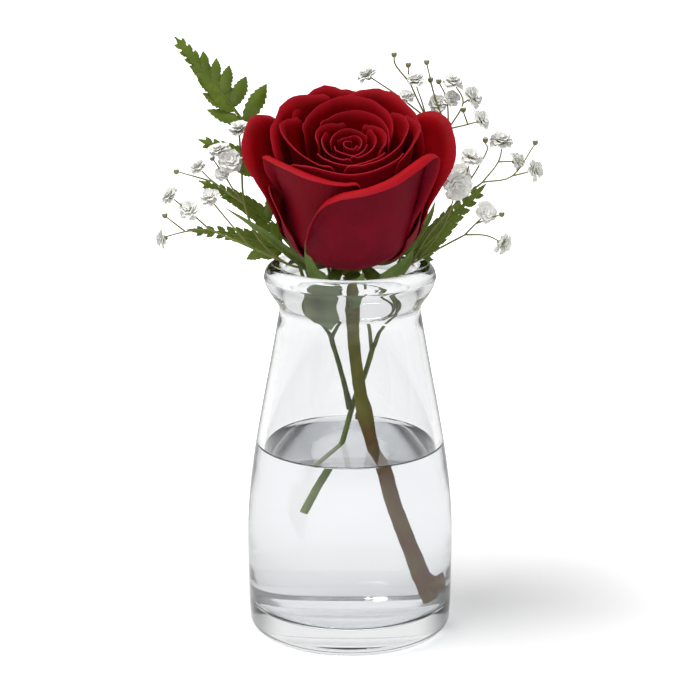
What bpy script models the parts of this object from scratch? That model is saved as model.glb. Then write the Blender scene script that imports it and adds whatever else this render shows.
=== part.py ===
"""A cut rose with fern and small white filler flowers in a glass bottle vase.

Metres, +Z up.  The origin is the centre of the vase's foot, on the surface it
stands on.  The rose faces -Y.
"""

import math

import bmesh
import bpy
from mathutils import Matrix, Vector

MM = 0.001

# Driving dimensions, in millimetres
VASE_HEIGHT = 130.5
BODY_RADIUS = 35.8
FOOT_RADIUS = 30.6
FOOT_RISE = 4.8
SHOULDER_START = 34.0
NECK_RADIUS = 24.3
NECK_HEIGHT = 114.5
LIP_RADIUS = 29.4
LIP_BULGE_HEIGHT = 126.4
MOUTH_RADIUS = 22.8
BASE_THICKNESS = 8.4
WALL = 3.1
WATER_LEVEL = 66.0
CLEARANCE = 0.3

HEAD_BASE = (0.0, 2.0, 132.6)
HEAD_TILT = 25.0
BOWL_RADIUS = 25.0
BOWL_HEIGHT = 18.0
PETAL_THICKNESS = 0.5
RECEPTACLE_LENGTH = 13.5
RECEPTACLE_RADIUS = 5.4

ROSE_STEM_RADIUS = 2.25
FERN_STALK_RADIUS = 0.9
SPRAY_STALK_RADIUS = 0.45
BLOSSOM_RADIUS = 3.6
BUD_RADIUS = 1.5

VASE_SEGMENTS = 36
PETAL_COLUMNS = 7
PETAL_ROWS = 4


def clear_scene():
    for item in list(bpy.data.objects):
        bpy.data.objects.remove(item, do_unlink=True)


def make_material(name, colour, roughness, metallic=0.0, transmission=0.0):
    material = bpy.data.materials.new(name)
    material.use_nodes = True
    shader = material.node_tree.nodes["Principled BSDF"]
    shader.inputs["Base Color"].default_value = (*colour, 1.0)
    shader.inputs["Roughness"].default_value = roughness
    shader.inputs["Metallic"].default_value = metallic
    shader.inputs["Transmission Weight"].default_value = transmission
    return material


def make_object(name, bm, material, smooth=True):
    """Turn a bmesh into a named object, scaled from millimetres to metres."""
    bmesh.ops.recalc_face_normals(bm, faces=bm.faces)
    bmesh.ops.scale(bm, vec=(MM, MM, MM), verts=bm.verts)
    mesh = bpy.data.meshes.new(name)
    bm.to_mesh(mesh)
    bm.free()
    if smooth:
        mesh.shade_smooth()
        mesh.set_sharp_from_angle(angle=math.radians(50))
    mesh.materials.append(material)
    obj = bpy.data.objects.new(name, mesh)
    bpy.context.scene.collection.objects.link(obj)
    return obj


def make_cutter(name, bm):
    """A helper solid for a Boolean, left out of the finished part."""
    bmesh.ops.recalc_face_normals(bm, faces=bm.faces)
    bmesh.ops.scale(bm, vec=(MM, MM, MM), verts=bm.verts)
    mesh = bpy.data.meshes.new(name)
    bm.to_mesh(mesh)
    bm.free()
    obj = bpy.data.objects.new(name, mesh)
    bpy.context.scene.collection.objects.link(obj)
    obj.hide_render = True
    obj.display_type = "WIRE"
    return obj


def add_boolean(obj, cutter, operation):
    modifier = obj.modifiers.new(operation.lower(), "BOOLEAN")
    modifier.operation = operation
    modifier.solver = "EXACT"
    modifier.object = cutter


def fuse(obj, branches):
    """Grow the branches onto the object, one union after another."""
    for index, bm in enumerate(branches, start=1):
        add_boolean(obj, make_cutter("%s_growth_%02d" % (obj.name, index), bm), "UNION")


def smooth_path(points, steps):
    """Points on a Catmull-Rom curve through the given points."""
    knots = [Vector(p) for p in points]
    if steps < 2 or len(knots) < 3:
        return knots
    ends = [knots[0] * 2 - knots[1]] + knots + [knots[-1] * 2 - knots[-2]]
    curve = []
    for i in range(1, len(ends) - 2):
        a, b, c, d = ends[i - 1:i + 3]
        for step in range(steps):
            t = step / steps
            point = 0.5 * ((2 * b) + (c - a) * t + (2 * a - 5 * b + 4 * c - d) * t ** 2
                           + (3 * b - a - 3 * c + d) * t ** 3)
            curve.append(point)
    curve.append(knots[-1])
    return curve


def sweep(bm, path, widths, depths, sides, across=Vector((1.0, 0.0, 0.0))):
    """Extrude an oval ring along a path: half-widths lie along `across`."""
    count = len(path)
    face = None
    for i, point in enumerate(path):
        ahead = path[min(i + 1, count - 1)]
        behind = path[max(i - 1, 0)]
        tangent = (ahead - behind).normalized()
        side = (across - tangent * across.dot(tangent)).normalized()
        up = tangent.cross(side)
        ring = []
        for k in range(sides):
            angle = 2 * math.pi * (k + 0.5) / sides
            ring.append(point + side * widths[i] * math.cos(angle)
                        + up * depths[i] * math.sin(angle))
        if face is None:
            face = bm.faces.new([bm.verts.new(co) for co in ring])
            continue
        grown = bmesh.ops.extrude_face_region(bm, geom=[face, *face.edges, *face.verts])
        face = [item for item in grown["geom"] if isinstance(item, bmesh.types.BMFace)][0]
        for vert, co in zip(face.verts, ring):
            vert.co = co


def tube(bm, points, radii, sides=6, steps=1, across=Vector((1.0, 0.0, 0.0))):
    """A round stalk; radii are given at the control points."""
    path = smooth_path(points, steps)
    values = []
    for i in range(len(path)):
        place = i / (len(path) - 1) * (len(radii) - 1)
        low = min(int(place), len(radii) - 2)
        values.append(radii[low] + (radii[low + 1] - radii[low]) * (place - low))
    sweep(bm, path, values, values, sides, across)


def blade(bm, points, half_width, half_depth, across, steps=1, tip=0.12, fullness=0.75):
    """A flat leaf: broadest below the middle, narrow at both ends."""
    path = smooth_path(points, steps)
    widths = []
    depths = []
    for i in range(len(path)):
        t = i / (len(path) - 1)
        swell = math.sin(math.pi * min(1.0, max(0.0, t)) ** fullness)
        widths.append(half_width * (tip + (1 - tip) * swell))
        depths.append(half_depth * (0.55 + 0.45 * swell))
    sweep(bm, path, widths, depths, 4, across)


def turned(profile, segments):
    """Spin an (r, z) profile, closed on the axis, about Z."""
    bm = bmesh.new()
    verts = [bm.verts.new((r, 0.0, z)) for r, z in profile]
    edges = [bm.edges.new(pair) for pair in zip(verts, verts[1:])]
    bmesh.ops.spin(bm, geom=verts + edges, axis=(0, 0, 1), cent=(0, 0, 0),
                   angle=2 * math.pi, steps=segments, use_merge=True)
    bmesh.ops.remove_doubles(bm, verts=bm.verts, dist=0.0005)
    return bm


# Vase and water

def outer_profile():
    """Foot to lip, outside."""
    points = [(0.0, 0.0), (FOOT_RADIUS, 0.0)]
    for angle in (28, 52, 76):
        turn = math.radians(angle)
        reach = BODY_RADIUS - 0.5 - FOOT_RADIUS
        points.append((FOOT_RADIUS + reach * math.sin(turn),
                       FOOT_RISE * (1 - math.cos(turn))))
    points.append((BODY_RADIUS - 0.1, FOOT_RISE + 5.0))
    points.append((BODY_RADIUS, SHOULDER_START - 8.0))
    rise = NECK_HEIGHT - SHOULDER_START
    fall = BODY_RADIUS - NECK_RADIUS
    for step in range(1, 9):
        t = step / 8
        eased = 0.42 * t ** 2 * (3 - 2 * t) + 0.58 * t ** 1.9
        points.append((BODY_RADIUS - fall * min(1.0, eased), SHOULDER_START + rise * t))
    swell = LIP_RADIUS - NECK_RADIUS
    for t in (0.12, 0.4, 0.7, 0.92, 1.0):
        height = NECK_HEIGHT + 1.6 + (LIP_BULGE_HEIGHT - NECK_HEIGHT - 1.6) * t
        points.append((NECK_RADIUS + 0.1 + (swell - 0.1) * math.sin(t * math.pi / 2) ** 1.25, height))
    for angle in (30, 60):
        turn = math.radians(angle)
        top = VASE_HEIGHT - LIP_BULGE_HEIGHT
        points.append((LIP_RADIUS - 3.4 * (1 - math.cos(turn)),
                       LIP_BULGE_HEIGHT + top * math.sin(turn)))
    points.append((LIP_RADIUS - 3.4, VASE_HEIGHT))
    return points


def inner_profile():
    """Mouth to floor, inside."""
    points = [(MOUTH_RADIUS + 1.4, VASE_HEIGHT), (MOUTH_RADIUS + 0.3, VASE_HEIGHT - 0.8),
              (MOUTH_RADIUS, VASE_HEIGHT - 2.4), (MOUTH_RADIUS - 0.4, NECK_HEIGHT + 2.5)]
    rise = NECK_HEIGHT - SHOULDER_START
    top = MOUTH_RADIUS - 0.4
    fall = BODY_RADIUS - WALL - top
    for step in range(7, -1, -1):
        t = step / 8
        eased = 0.42 * t ** 2 * (3 - 2 * t) + 0.58 * t ** 1.9
        points.append((BODY_RADIUS - WALL - fall * min(1.0, eased), SHOULDER_START + rise * t - 2.0))
    points.append((BODY_RADIUS - WALL - 0.1, BASE_THICKNESS + 12.0))
    for angle in (60, 30):
        turn = math.radians(angle)
        points.append((BODY_RADIUS - WALL - 6.0 + 5.6 * math.sin(turn),
                       BASE_THICKNESS + 6.4 - 5.9 * math.cos(turn)))
    points.append((BODY_RADIUS - WALL - 9.0, BASE_THICKNESS + 0.2))
    points.append((0.0, BASE_THICKNESS))
    return points


def make_vase(material):
    bm = turned(outer_profile() + inner_profile(), VASE_SEGMENTS)
    return make_object("vase", bm, material)


def water_profile():
    """The inside of the vase up to the water level, drawn in by the clearance."""
    wall = [(r, z) for r, z in inner_profile() if r > 1.0]
    below = [(r, z) for r, z in wall if z < WATER_LEVEL - 2.0]
    above = [(r, z) for r, z in wall if z >= WATER_LEVEL - 2.0][-1]
    low = below[0]
    share = (WATER_LEVEL - low[1]) / (above[1] - low[1])
    edge = low[0] + (above[0] - low[0]) * share
    points = [(0.0, WATER_LEVEL), (edge - 2.2, WATER_LEVEL),
              (edge - CLEARANCE - 0.15, WATER_LEVEL + 0.7)]
    for r, z in below:
        lift = CLEARANCE + 0.1 if z < BASE_THICKNESS + 3.0 else 0.0
        points.append((r - CLEARANCE - 0.1, z + lift))
    points.append((0.0, BASE_THICKNESS + CLEARANCE + 0.1))
    return points


# Stems

ROSE_STEM = [(1.0, 2.6, 121.0), (1.0, 0.6, 107.0), (2.0, -1.2, 96.0), (3.4, -3.0, 86.5),
             (5.0, -5.0, 78.5), (7.0, -6.8, 70.5), (9.2, -8.0, 62.0), (12.4, -9.2, 48.0),
             (17.0, -10.0, 34.0), (21.4, -9.6, 21.5), (23.6, -8.6, 12.4)]
ROSE_STEM_SWELL = [1.02, 1.0, 0.96, 0.98, 1.24, 1.0, 0.98, 1.0, 1.06, 1.18, 1.3]
HEEL_STUB = [(21.6, -9.2, 18.5), (25.2, -8.0, 16.6), (28.6, -7.2, 17.2)]
SHORT_STALK = [(0.0, -0.6, 79.0), (-2.0, -0.8, 88.0), (-4.4, -0.6, 97.0), (-6.8, 0.2, 104.5)]
LONG_STALK = [(-12.2, -1.0, 43.0), (-7.2, 0.2, 55.0), (-2.8, 1.4, 66.0), (1.6, 4.0, 81.0),
              (5.2, 5.4, 89.5), (8.0, 6.0, 99.0)]


SHORT_FORKS = [[(-6.4, 0.0, 103.4), (-8.4, 0.8, 107.0), (-10.2, 2.0, 110.0)],
               [(-6.4, 0.0, 103.4), (-4.6, 1.2, 107.5), (-3.6, 3.0, 111.0)]]
LONG_FORKS = [[(7.6, 6.0, 97.8), (10.0, 7.0, 102.4), (12.0, 7.6, 106.5)],
              [(7.6, 6.0, 97.8), (7.0, 6.6, 104.0), (6.2, 7.4, 110.0)]]


def head_point(across, back, along):
    """A point given in the rose head's own directions."""
    tilt = math.radians(HEAD_TILT)
    axis = Vector((0.0, -math.sin(tilt), math.cos(tilt)))
    rear = Vector((0.0, math.cos(tilt), math.sin(tilt)))
    return Vector(HEAD_BASE) + Vector((1, 0, 0)) * across + rear * back + axis * along


def make_rose_stem(material):
    """Stem, leaf node, woody heel and the receptacle that carries the petals."""
    top = [head_point(0, 0, RECEPTACLE_LENGTH), head_point(0, 0, RECEPTACLE_LENGTH * 0.45),
           head_point(0, 0, 0.6), head_point(0, 0.6, -3.0), head_point(0.4, 0.9, -6.5)]
    radii = [1.0, 1.9, 3.6, RECEPTACLE_RADIUS, 3.5]
    radii += [ROSE_STEM_RADIUS * s for s in ROSE_STEM_SWELL]
    body = bmesh.new()
    tube(body, top + [Vector(p) for p in ROSE_STEM], radii, sides=8)
    stem = make_object("rose_stem", body, material)
    stub = bmesh.new()
    tube(stub, HEEL_STUB, [2.2, 2.3, 2.0], sides=7, across=Vector((0.0, 1.0, 0.0)))
    fuse(stem, [stub])
    return stem


def forked_stalk(name, path, radii, forks, material):
    body = bmesh.new()
    tube(body, path, radii, sides=6)
    branches = []
    for fork in forks:
        bm = bmesh.new()
        tube(bm, fork, [0.8, 0.7, 0.62], sides=5)
        branches.append(bm)
    fuse(make_object(name, body, material), branches)


def make_stalks(material):
    forked_stalk("fern_stalk_short", SHORT_STALK, [1.25, 0.9, 0.85, 0.9], SHORT_FORKS, material)
    forked_stalk("fern_stalk_long", LONG_STALK, [1.15, 1.1, 1.0, 0.95, 0.9, 0.95], LONG_FORKS, material)


def make_water(material):
    water = make_object("water", turned(water_profile(), 32), material)
    cut = bmesh.new()
    radii = [ROSE_STEM_RADIUS * s + CLEARANCE + 0.15 for s in ROSE_STEM_SWELL[4:]]
    path = [Vector(p) for p in ROSE_STEM[4:]]
    path[-1] = path[-1] + Vector((0.1, 0.1, -0.5))
    tube(cut, path, radii, sides=8)
    add_boolean(water, make_cutter("stem_clearance_tool", cut), "DIFFERENCE")
    cut = bmesh.new()
    stub = [Vector(p) for p in HEEL_STUB]
    stub[-1] = stub[-1] + Vector((0.6, 0.0, 0.0))
    tube(cut, stub, [2.7, 2.8, 2.5], sides=7, across=Vector((0.0, 1.0, 0.0)))
    add_boolean(water, make_cutter("stub_clearance_tool", cut), "DIFFERENCE")
    cut = bmesh.new()
    path = [Vector(p) for p in LONG_STALK[:4]]
    path[0] = path[0] + (path[0] - path[1]).normalized() * 0.6
    tube(cut, path, [1.6, 1.55, 1.45, 1.4], sides=6)
    add_boolean(water, make_cutter("stalk_clearance_tool", cut), "DIFFERENCE")
    return water


# Rose petals

# Each row is one petal: direction in degrees (0 right, 90 back, -90 front),
# half spread in degrees, belly radius, rim height, flare of the rim, and how
# far the rim falls away to its corners, as a share of the height.
PETALS = [
    (200, 120, 2.4, 46.0, 0.0, 0.05),
    (40, 115, 3.6, 46.0, 0.0, 0.06),
    (-90, 90, 4.9, 45.6, 0.0, 0.08),
    (100, 82, 6.1, 46.6, 0.0, 0.10),
    (-20, 74, 7.3, 46.4, 0.0, 0.12),
    (208, 70, 8.5, 46.4, 0.0, 0.12),
    (146, 52, 9.8, 47.6, 0.2, 0.14),
    (18, 50, 9.8, 47.6, 0.2, 0.14),
    (-90, 72, 11.1, 46.6, 0.2, 0.12),
    (70, 70, 12.3, 49.0, 0.3, 0.14),
    (-22, 66, 13.5, 48.0, 0.6, 0.12),
    (196, 62, 14.7, 48.4, 1.0, 0.12),
    (94, 56, 15.9, 50.0, 1.5, 0.14),
    (-76, 64, 17.1, 46.4, 0.6, 0.10),
    (8, 46, 18.3, 48.6, 1.6, 0.16),
    (150, 50, 19.5, 49.6, 2.0, 0.14),
    (54, 44, 20.4, 50.4, 2.2, 0.14),
    (228, 48, 20.8, 45.0, 2.2, 0.08),
    (104, 40, 21.7, 51.0, 2.8, 0.18),
    (-72, 54, 22.2, 43.6, 1.4, 0.12),
    (188, 36, 22.7, 30.0, 1.6, 0.30),
    (-8, 34, 23.5, 25.0, 0.4, 0.34),
    (84, 44, 22.7, 46.0, 3.0, 0.16),
    (166, 38, 24.2, 44.0, 9.0, 0.20),
    (12, 40, 24.9, 43.6, 8.5, 0.22),
    (128, 35, 26.2, 40.0, 6.5, 0.22),
    (52, 35, 26.2, 38.0, 6.5, 0.22),
]
CLAW_SPREAD = 52.0


def bowl_bottom(radius):
    return (BOWL_RADIUS + 1.5 - radius) * 0.52


def bowl_radius(radius, height, top, flare):
    """Distance from the head's axis to a petal at a height above its base."""
    bottom = bowl_bottom(radius)
    if height < BOWL_HEIGHT:
        drop = (BOWL_HEIGHT - height) / (BOWL_HEIGHT - bottom)
        belly = radius * math.sqrt(max(0.0, 1.0 - drop * drop))
    else:
        belly = radius
    lean = (radius - 12.0) * 0.0022
    upper = max(0.0, height - BOWL_HEIGHT)
    rise = upper / max(1.0, top - BOWL_HEIGHT)
    return belly + lean * upper + flare * rise ** 2.2


def petal_solid(index, spec, material):
    direction, spread, radius, top, flare, fall = spec
    bottom = bowl_bottom(radius)
    start = math.asin(min(0.95, (3.9 if radius > 9 else 1.7) / radius + 0.02)) if radius > 3 else 0.6
    first = BOWL_HEIGHT - (BOWL_HEIGHT - bottom) * math.cos(start)
    bm = bmesh.new()
    bmesh.ops.create_grid(bm, x_segments=PETAL_COLUMNS, y_segments=PETAL_ROWS, size=1.0)
    for vert in bm.verts:
        u = vert.co.x
        t = (vert.co.y + 1.0) / 2.0
        rim = top * (1.0 - fall * abs(u) ** 2.6)
        # rows bunch where the bowl curves
        if t <= 0.5:
            turn = start + (math.pi / 2 - start) * (t / 0.5)
            height = BOWL_HEIGHT - (BOWL_HEIGHT - bottom) * math.cos(turn)
        else:
            height = BOWL_HEIGHT + (rim - BOWL_HEIGHT) * (t - 0.5) / 0.5
        opened = min(1.0, max(0.0, (height - first) / 12.0))
        claw = min(spread, CLAW_SPREAD)
        angle = math.radians(direction + u * (claw + (spread - claw) * opened))
        rho = bowl_radius(radius, height, top, flare)
        vert.co = head_point(rho * math.cos(angle), rho * math.sin(angle), height)
    obj = make_object("petal_%02d" % index, bm, material)
    solid = obj.modifiers.new("thickness", "SOLIDIFY")
    solid.thickness = PETAL_THICKNESS * MM
    solid.offset = 0.0
    solid.use_rim = True
    return obj


# Sepals and leaves

def sepal_root(direction):
    """Where a sepal meets the rim of the receptacle."""
    turn = math.radians(direction)
    reach = RECEPTACLE_RADIUS + CLEARANCE
    return head_point(reach * math.cos(turn), 0.6 + reach * math.sin(turn), -3.0)


def make_sepals(material):
    side = Vector((1.0, 0.0, 0.0))
    front = Vector((0.0, -1.0, 0.0))
    sepals = [
        ("sepal_1", [sepal_root(-130), (-8.0, -12.6, 127.2), (-12.2, -17.6, 133.0),
                     (-14.4, -19.6, 142.0)], 3.6, Vector((0.8, -0.4, 0.3))),
        ("sepal_2", [sepal_root(-80), (1.6, -12.4, 125.4), (2.6, -17.6, 128.8)], 3.4, side),
        ("sepal_3", [sepal_root(-30), (11.0, -9.8, 127.6), (16.6, -11.8, 132.0),
                     (20.4, -10.6, 137.4)], 3.3, Vector((0.6, 0.6, 0.0))),
        ("sepal_4", [sepal_root(182), (-14.0, 0.2, 130.0), (-20.6, -1.6, 134.6),
                     (-28.4, -4.2, 141.6), (-35.0, -5.8, 146.6), (-42.0, -6.4, 151.2)], 2.4,
         Vector((0.3, 0.8, -0.4))),
        ("sepal_5", [sepal_root(20), (13.0, 3.6, 131.4), (21.4, 1.0, 139.0),
                     (26.6, -1.6, 146.6), (28.8, -2.6, 152.6)], 2.0, front),
    ]
    for name, points, width, across in sepals:
        bm = bmesh.new()
        blade(bm, points, width, 0.35, across, steps=2, tip=0.10, fullness=0.62)
        make_object(name, bm, material)


def make_neck_leaf(material):
    bm = bmesh.new()
    blade(bm, [(-10.4, -6.4, 126.4), (-9.4, -7.9, 121.0), (-8.0, -8.0, 115.0), (-6.4, -7.4, 108.6)],
          5.0, 0.35, Vector((1.0, 0.1, 0.0)), steps=1, tip=0.3, fullness=0.9)
    make_object("leaf_neck", bm, material)


def frond(name, spine, radius, leaflets, normal, material):
    """A fern pinna: a thin spine with flat leaflets, fused into one solid."""
    body = bmesh.new()
    tube(body, spine, [radius, radius * 0.9, radius * 0.7, 0.3], sides=5, across=normal)
    leaves = []
    for root, tip, width in leaflets:
        root = Vector(root)
        tip = Vector(tip)
        out = (tip - root).normalized()
        across = normal.cross(out)
        middle = root.lerp(tip, 0.38)
        near = root.lerp(tip, 0.72)
        leaf = bmesh.new()
        blade(leaf, [root - out * 0.2, middle, near, tip], width, 0.32, across, tip=0.16,
              fullness=0.8)
        leaves.append(leaf)
    fuse(make_object(name, body, material), leaves)


def make_fern(material):
    facing = Vector((0.1, -1.0, 0.25)).normalized()
    frond("fern_left_tall",
          [(-3.45, 3.3, 111.5), (-6.0, 12.6, 126.0), (-8.6, 17.6, 139.0), (-22.0, 22.0, 157.0),
           (-37.0, 22.6, 176.0), (-46.0, 22.6, 188.0), (-60.0, 22.0, 205.0)], 0.85,
          [((-36.5, 22.6, 175.4), (-28.6, 22.0, 189.0), 3.4),
           ((-40.5, 22.6, 180.8), (-35.6, 22.0, 191.0), 3.0),
           ((-43.6, 22.6, 185.0), (-41.8, 22.2, 194.4), 2.3),
           ((-47.0, 22.6, 189.4), (-46.4, 22.4, 196.6), 1.8),
           ((-50.0, 22.5, 193.4), (-51.4, 22.4, 199.0), 1.4),
           ((-36.0, 22.6, 174.6), (-49.6, 23.0, 179.8), 2.6),
           ((-39.6, 22.6, 179.4), (-51.0, 23.0, 185.2), 2.4),
           ((-43.4, 22.6, 184.4), (-52.4, 22.8, 189.6), 2.0),
           ((-47.0, 22.6, 189.0), (-54.4, 22.6, 193.6), 1.6),
           ((-50.4, 22.6, 193.6), (-56.6, 22.4, 197.4), 1.3)], facing, material)
    frond("fern_left_upper",
          [(-6.4, 6.4, 113.6), (-7.8, 12.6, 127.2), (-17.0, 17.0, 143.0), (-28.0, 18.8, 156.0),
           (-38.0, 18.8, 164.0), (-52.0, 18.0, 170.0)], 0.7,
          [((-36.0, 18.8, 162.6), (-33.0, 18.6, 169.4), 2.0),
           ((-42.0, 18.6, 166.0), (-41.0, 18.2, 171.4), 1.6)], facing, material)
    frond("fern_left_middle",
          [(-10.6, 2.6, 111.2), (-15.2, 8.8, 126.6), (-20.6, 12.6, 134.0), (-30.0, 14.6, 143.6),
           (-40.0, 14.8, 150.6), (-52.0, 14.0, 156.4)], 0.7,
          [((-27.0, 14.2, 140.6), (-19.8, 14.6, 155.4), 2.6),
           ((-31.6, 14.6, 145.0), (-28.6, 14.6, 155.6), 2.6),
           ((-37.0, 14.8, 148.8), (-36.4, 14.4, 158.0), 2.2),
           ((-43.0, 14.6, 152.2), (-44.4, 14.2, 158.0), 1.6)], facing, material)
    frond("fern_left_low",
          [(-11.4, 1.0, 110.8), (-16.6, 6.4, 125.6), (-19.0, 9.0, 130.4), (-28.0, 10.6, 134.6),
           (-40.0, 10.8, 138.4), (-56.0, 10.0, 140.0)], 0.7,
          [((-25.5, 10.3, 133.0), (-34.0, 9.0, 134.0), 1.9),
           ((-31.0, 10.8, 135.0), (-37.0, 10.4, 129.4), 2.4),
           ((-37.6, 10.8, 137.6), (-45.0, 10.4, 134.6), 2.0),
           ((-33.0, 10.8, 135.8), (-36.4, 10.6, 144.6), 2.2),
           ((-38.0, 10.8, 137.8), (-42.0, 10.6, 144.2), 1.8),
           ((-43.0, 10.6, 138.8), (-46.4, 10.4, 143.4), 1.4)], facing, material)
    frond("fern_right",
          [(12.4, 8.0, 108.0), (16.4, 8.6, 123.6), (18.4, 9.2, 129.6), (27.0, 12.0, 135.4),
           (36.0, 13.0, 145.0), (46.6, 12.6, 155.4)], 0.7,
          [((24.2, 11.4, 133.0), (32.0, 11.4, 133.8), 1.8),
           ((28.0, 12.2, 136.2), (35.6, 12.0, 136.0), 2.2),
           ((32.4, 12.8, 141.0), (40.6, 12.4, 142.4), 2.0),
           ((24.6, 11.6, 132.8), (23.0, 11.8, 141.0), 2.2),
           ((30.0, 12.4, 138.4), (30.0, 12.6, 147.4), 2.0),
           ((35.6, 13.0, 144.6), (36.6, 13.0, 152.2), 1.6)], facing, material)


# White filler flowers

def spray(name, stalks, blossoms, buds, material):
    """Thin branching stalks with flower heads, fused into one solid.

    `stalks` are paths; a blossom is (centre, direction it faces), a bud a
    centre.  Heads sit on the ends of the stalks.
    """
    body = bmesh.new()
    tube(body, stalks[0], [SPRAY_STALK_RADIUS * 1.5, SPRAY_STALK_RADIUS], sides=4)
    growth = []
    for path in stalks[1:]:
        bm = bmesh.new()
        root = Vector(path[0])
        root -= (Vector(path[1]) - root).normalized() * 0.25
        tube(bm, [root, *path[1:]], [SPRAY_STALK_RADIUS * 0.9, SPRAY_STALK_RADIUS * 0.8], sides=4,
             across=Vector((0.8, 0.6, 0.1)))
        growth.append(bm)
    for centre, facing in blossoms:
        turn = Vector((0, 0, 1)).rotation_difference(Vector(facing)).to_matrix().to_4x4()
        spot = Matrix.Translation(Vector(centre)) @ turn
        bm = bmesh.new()
        bmesh.ops.create_cone(bm, cap_ends=True, cap_tris=False, segments=5,
                              radius1=0.9, radius2=BLOSSOM_RADIUS, depth=4.0,
                              matrix=spot)
        growth.append(bm)
    for centre in buds:
        bm = bmesh.new()
        bmesh.ops.create_icosphere(bm, subdivisions=1, radius=BUD_RADIUS,
                                   matrix=Matrix.Translation(Vector(centre)))
        growth.append(bm)
    fuse(make_object(name, body, material), growth)


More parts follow.
